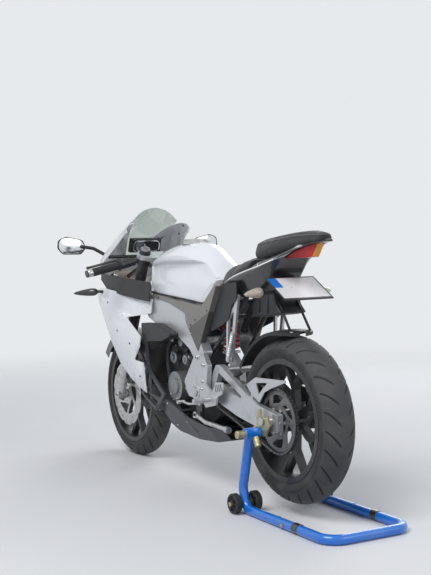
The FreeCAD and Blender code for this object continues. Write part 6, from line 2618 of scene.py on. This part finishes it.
@dataclass
class RadiatorFins:
    """Fine upright fins on the radiator's faces."""

    count: int = 58
    half: float = 120.0

    def build(self) -> None:
        """Thin strips side by side, leaning with the core."""
        strip = [Vector((x, y, 0.0)) for x, y in ((-0.0012, -0.0006), (0.0012, -0.0006),
                                                  (0.0012, 0.0006), (-0.0012, 0.0006))]
        banks = []
        for name, low, high in (("rear_fins", (954, 392), (988, 594)),
                                ("front_fins", (984, 384), (1018, 586))):
            rise = back(high[0], 0, high[1]) - back(low[0], 0, low[1])
            fin = rings_object("fin", [strip, [p + rise for p in strip]])
            spots = [(back(low[0], self.half * (2 * k / (self.count - 1) - 1), low[1]), Euler())
                     for k in range(self.count)]
            banks.append(REPEATER.spread(name, fin, spots, "black_metal"))
        dress(joined("radiator_fins", banks), "chassis", "black_metal")


@dataclass
class EngineDetails:
    """Parting ribs of the crankcase and cylinder, and the water hoses beside them."""

    half: float = 70.0

    def build(self) -> None:
        """Ribs, hoses and their clamps."""
        bands = []
        for low, high, thick in (((602, 496), (806, 500), 6.0), ((640, 560), (820, 562), 6.0),
                                 ((672, 604), (834, 606), 8.0), ((450, 352), (812, 356), 5.0)):
            ring = [back(x, y, z) for (x, z), y in ((low, -self.half - 3), (high, -self.half - 3),
                                                    (high, self.half + 3), (low, self.half + 3))]
            rise = Vector((0, 0, thick * MM))
            band = rings_object("band", [ring, [p + rise for p in ring]])
            bands.append(rounded_edges(band, 0.0015))
        dress(joined("case_ribs", bands), "chassis", "engine_metal")
        routes = (
            ((812, 84, 600), (850, 92, 560), (846, 96, 470), (828, 92, 400), (800, 84, 372)),
            ((700, 80, 560), (672, 96, 540), (650, 100, 500), (660, 90, 470)),
            ((640, 84, 600), (700, 92, 622), (790, 88, 628), (850, 70, 640)),
        )
        hoses, clamps = [], []
        for points, radius in zip(routes, (10.0, 7.0, 5.0)):
            dense = smooth_route((back(*p) for p in points), 6)
            hoses.append(tube_object("hose", dense, radius * MM, 14))
            for at, ahead in ((dense[1], dense[2]), (dense[-2], dense[-3])):
                profile = ((radius - 1.0, 0.0), (radius + 1.4, 0.0), (radius + 1.4, 8.0),
                           (radius - 1.0, 8.0))
                clamps.append(turned_object("clamp", profile, at, ahead - at, 20, True))
        dress(joined("engine_hoses", hoses), "chassis", None, "soft_rubber")
        dress(joined("hose_clamps", clamps), "chassis", None, "bright_steel")
        self.castings()

    def castings(self) -> None:
        """Camshaft cover, starter, water pump, thermostat housing, and their bolts."""
        outline = rounded_loop([(690, 632), (836, 632), (830, 664), (700, 668)], 10.0)
        pieces = [rounded_edges(prism("cam_cover", outline, (76, -76)), 0.004)]
        for at, profile in (
            ((676, 64, 520), ((24, 0), (24, 34), (20, 38), (20, 44), (9, 46), (9, 50))),
            ((800, 66, 520), ((20, 0), (20, 22), (27, 24), (27, 30), (22, 34), (12, 34), (12, 40))),
            ((828, 70, 606), ((17, 0), (17, 14), (23, 16), (23, 22), (15, 28), (8, 28))),
            ((604, 113, 430), ((30, 0), (30, 4.5), (26, 6), (22, 6), (20, 4.8), (11, 4.8), (10, 7))),
            ((740, 68, 588), ((14, 0), (14, 20), (18, 21), (18, 26), (6, 29))),
        ):
            pieces.append(turned_object("casting", profile, back(*at), LEFT, 36))
        dress(joined("engine_castings", pieces), "chassis", "cover_metal")
        rows = around(back(800, 96, 520), 23.0, 4, LEFT, 3.0, 45.0)
        rows += around(back(828, 92, 606), 19.0, 3, LEFT, 3.0)
        rows += around(back(604, 119.2, 430), 24.0, 5, LEFT, 3.0, 20.0)
        rows += [Screw(back(x, 76.2, 650), LEFT, 4.5) for x in (712, 760, 812)]
        rows += [Screw(back(x, 73.5, z), LEFT, 5.0) for x, z in (
            (642, 566), (816, 568), (672, 609), (832, 611), (612, 500), (800, 504))]
        screws("engine_bolts", Head.SOCKET, rows, "chassis", "cover_metal", "bright_steel")
        wires = []
        for points in (((690, 70, 640), (660, 84, 600), (668, 88, 548), (690, 84, 520)),
                       ((850, 60, 660), (862, 78, 600), (858, 86, 520), (842, 90, 450), (806, 96, 420)),
                       ((845, 50, 650), (835, 82, 640), (760, 88, 606), (742, 90, 592))):
            route = smooth_route((back(*p) for p in points), 6)
            wires.append(tube_object("wire", route, 2.6 * MM, 8))
        dress(joined("engine_wires", wires), "chassis", None, "soft_rubber")


@dataclass
class Silencer:
    """End ring and straps of the silencer."""

    low: Vector = field(default_factory=lambda: back(302, -158, 330))
    high: Vector = field(default_factory=lambda: back(126, -174, 480))
    radius: float = 44.0

    def build(self) -> None:
        """Bands round the canister and a lip at its outlet."""
        along = (self.high - self.low).normalized()
        length = (self.high - self.low).length
        rings = []
        for share, wide, proud in ((0.02, 14.0, 1.2), (0.55, 16.0, 2.0), (0.94, 12.0, 1.2)):
            start = self.low + along * (length * share)
            profile = ((self.radius - 1, 0.0), (self.radius + proud, 0.6),
                       (self.radius + proud, wide - 0.6), (self.radius - 1, wide))
            rings.append(turned_object("strap", profile, start, along, 48, True))
        dress(joined("silencer_straps", rings), "chassis", "dark_steel", "bright_steel")


@dataclass
class Fittings:
    """Screws and bolts, axle adjusters, peg ribs and painted shade for the heel guards' slots."""

    def panels(self) -> None:
        """Dark screws of the panels, the nose's corners among them."""
        rows = on_both_sides(Skin("side_covers"), ((846, 776, 5.0), (559, 676, 5.0), (420, 742, 4.0),
                                                   (520, 700, 4.0)))
        rows += on_both_sides(Skin("side_fairings"), ((1001, 571, 5.0), (1230, 742, 4.5),
                                                      (938, 430, 4.5), (1120, 620, 4.5)))
        rows += on_both_sides(Skin("tail_fairing"),
                              ((300, 826, 4.0), (396, 752, 4.0), (250, 800, 4.0)))
        nose = Skin("nose_fairing")
        for side in (1, -1):
            for x, z in ((-214, 1088), (-150, 1052)):
                found = nose.along(fore(x, side * 90, z), LEFT * side)
                if found:
                    rows.append(Screw(found[0], found[1], 5.0))
        screws("panel_screws", Head.DOME, rows, "chassis", None, "black_gloss")

    def frame_bolts(self) -> None:
        """Bright bolts of the frame and the covers, and collars at the pivot."""
        rows = on_both_sides(Skin("main_frame"), (
            (509, 548, 9.0), (930, 740, 6.0), (930, 704, 6.0), (600, 398, 7.0), (462, 520, 7.0),
            (470, 452, 6.0), (562, 640, 5.0)))
        rows += on_both_sides(Skin("foot_hangers"), ((462, 424, 6.0), (456, 380, 6.0)))
        screws("frame_bolts", Head.SOCKET, rows, "chassis", "bright_steel", "bright_steel")
        covers = around(back(737, 124, 404), 54.0, 6, LEFT, 4.0, 15.0)
        covers += [Screw(back(x, 116, z), LEFT, 4.0)
                   for x, z in ((576, 400), (578, 450), (606, 464), (642, 444), (648, 402))]
        covers += around(back(668, -116, 380), 66.0, 8, -LEFT, 4.0)
        screws("cover_bolts", Head.SOCKET, covers, "chassis", "cover_metal", "bright_steel")
        collars = []
        for side in (1, -1):
            profile = ((32.0, -1.0), (32.0, 3.0), (29.0, 4.5), (26.0, 4.5), (24.5, 3.0), (19.5, 3.0),
                       (19.5, -1.0))
            collars.append(turned_object("pivot_collar", profile,
                                         back(526, 138 * side, 404), LEFT * side, 40, True))
        dress(joined("pivot_collars", collars), "chassis", "silver_frame")

    def adjusters(self) -> None:
        """Dark blocks with a bolt at the ends of the swingarm, and a nut on each end of the axle."""
        blocks, rows = [], []
        for side in (1, -1):
            loop = rounded_loop([(-46, -32), (-14, -34), (-14, 32), (-46, 30)], 4.0)
            block = prism("adjuster", loop, (side * 110.0, side * 116.5),
                          lambda x, y, z: REAR_AXLE + local(x, y, z))
            blocks.append(rounded_edges(block, 0.0012))
            rows.append(Screw(REAR_AXLE + Vector((-0.046, side * 0.102, 0.0)),
                              Vector((-1, 0, 0)), 6.0))
            rows.append(Screw(REAR_AXLE + Vector((0.0, side * 0.1262, 0.0)), LEFT * side, 9.0))
        dress(joined("axle_adjusters", blocks), "chassis", None, "cover_metal")
        screws("adjuster_bolts", Head.HEXAGON, rows, "chassis", None, "bright_steel")

    def pegs(self) -> None:
        """Ribs on the pegs, and black slabs on the heel guards that stand in for their slots as painted
        shade.
        """
        bars = Bars()
        rider = bars.sleeve("peg_ribs", back(400, 142, 388), back(400, 219.5, 388), 9.0, 11, 1.4)
        folded = bars.sleeve("peg_ribs", back(285, 121.4, 574), back(248, 123.7, 657), 9.0, 10, 1.3)
        dress(mirrored(joined("peg_ribs", [rider, folded])), "chassis", None, "bright_steel")
        slot = rounded_loop([(-14, -2.4), (14, -2.4), (14, 2.4), (-14, 2.4)], 2.4)
        # painted shade: a thin black slab for each slot, in place of an opening
        cut = prism("slot", slot, (0.0, 0.9), local)
        spots = [(back(x, 143.6, z), Euler((0.0, radians(-72), 0.0)))
                 for x, z in ((312, 446), (326, 443), (340, 440), (354, 436))]
        slots = REPEATER.spread("heel_slots", cut, spots, "black_plastic")
        dress(mirrored(slots), "chassis", None, "black_plastic")

    def build(self) -> None:
        """All of them."""
        self.panels()
        self.frame_bolts()
        self.adjusters()
        self.pegs()


@dataclass
class StandDetails:
    """What dresses the paddock stand: bands on its side tubes, bolts and the hooks' tube ends."""

    tube: float = 18.0
    spread: float = 170.0
    sleeve_z: float = 308.0

    def build(self) -> None:
        """Bands, tube ends and bolts."""
        bands, ends, bolts = [], [], []
        for side in (1, -1):
            for x, length, proud in ((-236.0, 34.0, 1.2), (-120.0, 8.0, 0.8)):
                profile = ((self.tube - 1, 0.0), (self.tube + proud, 0.8),
                           (self.tube + proud, length - 0.8), (self.tube - 1, length))
                bands.append(turned_object("band", profile,
                                           back(x, side * self.spread, self.tube + proud),
                                           Vector((-1, 0, 0)), 36))
            profile = ((10.5, -6.0), (10.5, 0.0), (14.0, 0.0), (14.6, -0.8), (14.6, -10.0),
                       (13.9, -11.0))
            ends.append(turned_object("tube_end", profile,
                                      back(50, side * 230.6, self.sleeve_z), LEFT * side, 32))
            bolts.append(Screw(back(-180, side * (self.spread + self.tube - 0.4), self.tube),
                               LEFT * side, 7.0))
            bolts.append(Screw(back(50, side * 150, self.sleeve_z + 20.6), UP, 7.0))
            bolts.append(Screw(back(112, side * 224, 38), LEFT * side, 9.0))
        dress(joined("stand_bands", bands[::2]), "chassis", None, "black_gloss")
        dress(joined("stand_rings", bands[1::2]), "chassis", "blue_paint")
        dress(joined("hook_tube_ends", ends), "chassis", "zinc")
        screws("stand_bolts", Head.HEXAGON, bolts, "chassis", None, "zinc")


# Pieces that keep the frame's own form, their edges broken


@dataclass(frozen=True)
class EdgeBreak:
    """How far a node's edges are broken, and the finish of its solids that reach further out."""

    node: str
    width: float
    angle: float = 32.0
    over: float | None = None
    look: str | None = None
    rest: str | None = None
    outer_only: bool = False


EDGES = (
    EdgeBreak("main_frame", 3.0), EdgeBreak("swingarm", 2.5), EdgeBreak("engine_block", 3.0),
    EdgeBreak("engine_covers", 3.0), EdgeBreak("rear_rim", 1.6), EdgeBreak("front_rim", 1.6),
    EdgeBreak("front_caliper", 2.0), EdgeBreak("rear_caliper", 2.0),
    EdgeBreak("handlebars", 1.5, over=0.2, look="black_metal"), EdgeBreak("foot_hangers", 1.2),
    EdgeBreak("chain_guard", 0.8), EdgeBreak("stand_hooks", 0.8),
    EdgeBreak("side_covers", 3.0, over=0.15, look="black_plastic", rest="cover_plastic"),
    EdgeBreak("plate_hanger", 1.5, over=0.1, outer_only=True),
    EdgeBreak("tail_fairing", 1.5, over=0.11, outer_only=True),
    EdgeBreak("belly_pan", 1.0), EdgeBreak("cockpit_panels", 1.2), EdgeBreak("mirrors", 2.0),
    EdgeBreak("fork_lowers", 1.0), EdgeBreak("nose_fairing", 1.2),
    EdgeBreak("headlamp", 1.2), EdgeBreak("front_fender", 0.8),
    EdgeBreak("hugger", 0.8, over=0.09, outer_only=True),
)


class Carried:
    """Nodes of the frame that keep their form: new finishes, and broken edges where they show."""

    def __init__(self, record: dict) -> None:
        """Read the slot and the body of each node.

        Args:
            record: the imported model's record.
        """
        self.slots = {row["node"]: row["material_slot"] for row in record["subparts"]}
        self.bodies = {node: body for body, nodes in record["behaviour"]["bodies"].items()
                       for node in nodes}

    def break_edges(self, rule: EdgeBreak, outer: bool = False) -> None:
        """Copy of a node's form with its edges broken.

        Args:
            rule: how they are broken.
            outer: whether only the solids that reach further out are copied.
        """
        keep = None if rule.over is None else lambda reach: (reach > rule.over) == outer
        made = merged_copy(rule.node, rule.node + ("_outer" if outer else "_edged"), keep)
        rounded_edges(made, rule.width * MM, rule.angle)
        dress(made, self.bodies[rule.node], self.slots[rule.node],
              rule.look if outer else rule.rest, rule.node)

    def build(self) -> None:
        """Break the listed edges and finish every node that is still shown."""
        for rule in EDGES:
            if not rule.outer_only:
                self.break_edges(rule)
            if rule.over is not None:
                self.break_edges(rule, True)
        for name, made in frame["nodes"].items():
            made.data.materials.clear()
            made.data.materials.append(finish(self.slots[name]))


# Stage


@dataclass
class Studio:
    """Plain pale floor, soft lamps and the camera at the photograph's angle."""

    camera_at: Vector = field(default_factory=lambda: back(-3392.6, 2265.1, 1044.4))
    yaw: float = -29.612
    pitch: float = -2.766
    roll: float = -1.048
    focal_pixels: float = 1098.57
    frame_height: float = 575.0
    sensor: float = 36.0
    floor_near: float = 1.5
    floor_far: float = 6.0
    floor_reach: float = 30.0
    sky_seen: tuple = (0.80, 0.82, 0.84, 1.0)
    sky_light: tuple = (0.80, 0.86, 0.95, 1.0)
    sky_strength: float = 0.42

    def floor(self) -> None:
        """Wide pale floor that keeps the object's shadow."""
        reach = self.floor_reach
        floor = mesh_object("floor", [(-reach, -reach, 0), (reach, -reach, 0), (reach, reach, 0),
                                      (-reach, reach, 0)], [(0, 1, 2, 3)])
        shader = Shader("floor")
        tone = shader.noise(3.0, 4.0)
        across, along = shader.axis(0), shader.axis(1)
        far = (across * across + along * along) ** 0.5
        shader.surface(base_color=shader.mix(tone, (0.72, 0.72, 0.73, 1), (0.76, 0.76, 0.77, 1)),
                       roughness=0.9, alpha=1.0 - far.smooth(self.floor_near, self.floor_far))
        floor.data.materials.append(shader.material)

    def lamps(self) -> None:
        """Three soft lamps: over the left side, from behind and from the right."""
        for name, at, aim, size, power in (
            ("key", (-1.4, 2.9, 4.4), (0.0, 0.0, 0.5), 2.4, 150.0),
            ("rear", (-4.2, -1.6, 2.6), (-0.3, 0.0, 0.5), 2.5, 32.0),
            ("right", (2.4, -3.4, 3.0), (0.2, 0.0, 0.5), 3.0, 80.0),
        ):
            data = bpy.data.lights.new(name, "AREA")
            data.shape = "SQUARE"
            data.size = size
            data.energy = power
            lamp = placed(name, data)
            lamp.location = at
            lamp.rotation_euler = facing_turn(Vector(at) - Vector(aim))

    def world(self) -> None:
        """Even sky: one strength for the eye, a lower one for the light."""
        world = bpy.data.worlds.new("studio")
        world.use_nodes = True
        bpy.context.scene.world = world
        tree = world.node_tree
        tree.nodes.clear()
        path, seen, lit, blend, end, either, any_ray = (
            tree.nodes.new("ShaderNode" + kind) for kind in (
                "LightPath", "Background", "Background", "MixShader", "OutputWorld", "Math",
                "Math"))
        either.operation = any_ray.operation = "MAXIMUM"
        seen.inputs["Color"].default_value = self.sky_seen
        lit.inputs["Color"].default_value = self.sky_light
        lit.inputs["Strength"].default_value = self.sky_strength
        linked(tree, ((path, "Is Camera Ray", either, 0), (path, "Is Transmission Ray", either, 1),
                      (either, 0, any_ray, 0), (path, "Is Glossy Ray", any_ray, 1),
                      (any_ray, 0, blend, 0), (lit, 0, blend, 1), (seen, 0, blend, 2),
                      (blend, 0, end, "Surface")))

    def camera(self) -> None:
        """Camera where the photographer stood."""
        yaw, pitch, roll = (radians(a) for a in (self.yaw, self.pitch, self.roll))
        ahead = Vector((cos(pitch) * cos(yaw), cos(pitch) * sin(yaw), sin(pitch)))
        right = Vector((sin(yaw), -cos(yaw), 0.0))
        up = right.cross(ahead)
        across = right * cos(roll) + up * sin(roll)
        upright = up * cos(roll) - right * sin(roll)
        data = bpy.data.cameras.new("camera")
        data.sensor_width = self.sensor
        data.lens = self.sensor * self.focal_pixels / self.frame_height
        made = placed("camera", data)
        made.matrix_world = Matrix((
            (across.x, upright.x, -ahead.x, self.camera_at.x),
            (across.y, upright.y, -ahead.y, self.camera_at.y),
            (across.z, upright.z, -ahead.z, self.camera_at.z),
            (0.0, 0.0, 0.0, 1.0)))
        bpy.context.scene.camera = made

    def build(self) -> None:
        """Floor, lamps, sky and camera."""
        self.floor()
        self.lamps()
        self.world()
        self.camera()
        bpy.context.scene.view_settings.view_transform = "Standard"


def main() -> None:
    """Build and dress every sub-assembly in order."""
    logging.basicConfig(level=logging.INFO, format="%(name)s %(message)s")
    Studio().build()
    Tyre("rear_tyre", "rear_wheel", REAR_AXLE, *REAR_TYRE_SIZE).build()
    Tyre("front_tyre", "front_wheel", FRONT_AXLE, *FRONT_TYRE_SIZE, bead_half=0.042,
         pitches=24, across=42, look="front_tread").build()
    Sprocket().build()
    BrakeDisc("front_disc", "front_wheel", FRONT_AXLE, 62.0, 150.0, LEFT).build()
    BrakeDisc("rear_disc", "rear_wheel", REAR_AXLE, -79.0, 110.0, -LEFT).build()
    for part in (DriveChain(), RimLipHighlights(), StandWheels(), Seats(), Tank(), FuelCapDetails(),
                 TailStripeAndReflection(Tail().build()), UnderTray(), Hugger(), SideFairings(), PanPlates(),
                 Plate(), Indicators(), Mirrors(), ScreenEdgeHighlight(), Headlamps(), Dash(), Bars(),
                 ForkDetails(), RadiatorFins(), EngineDetails(), Silencer(), Fittings(),
                 StandDetails(), Carried(frame["record"])):
        part.build()


if __name__ == "__main__":
    main()
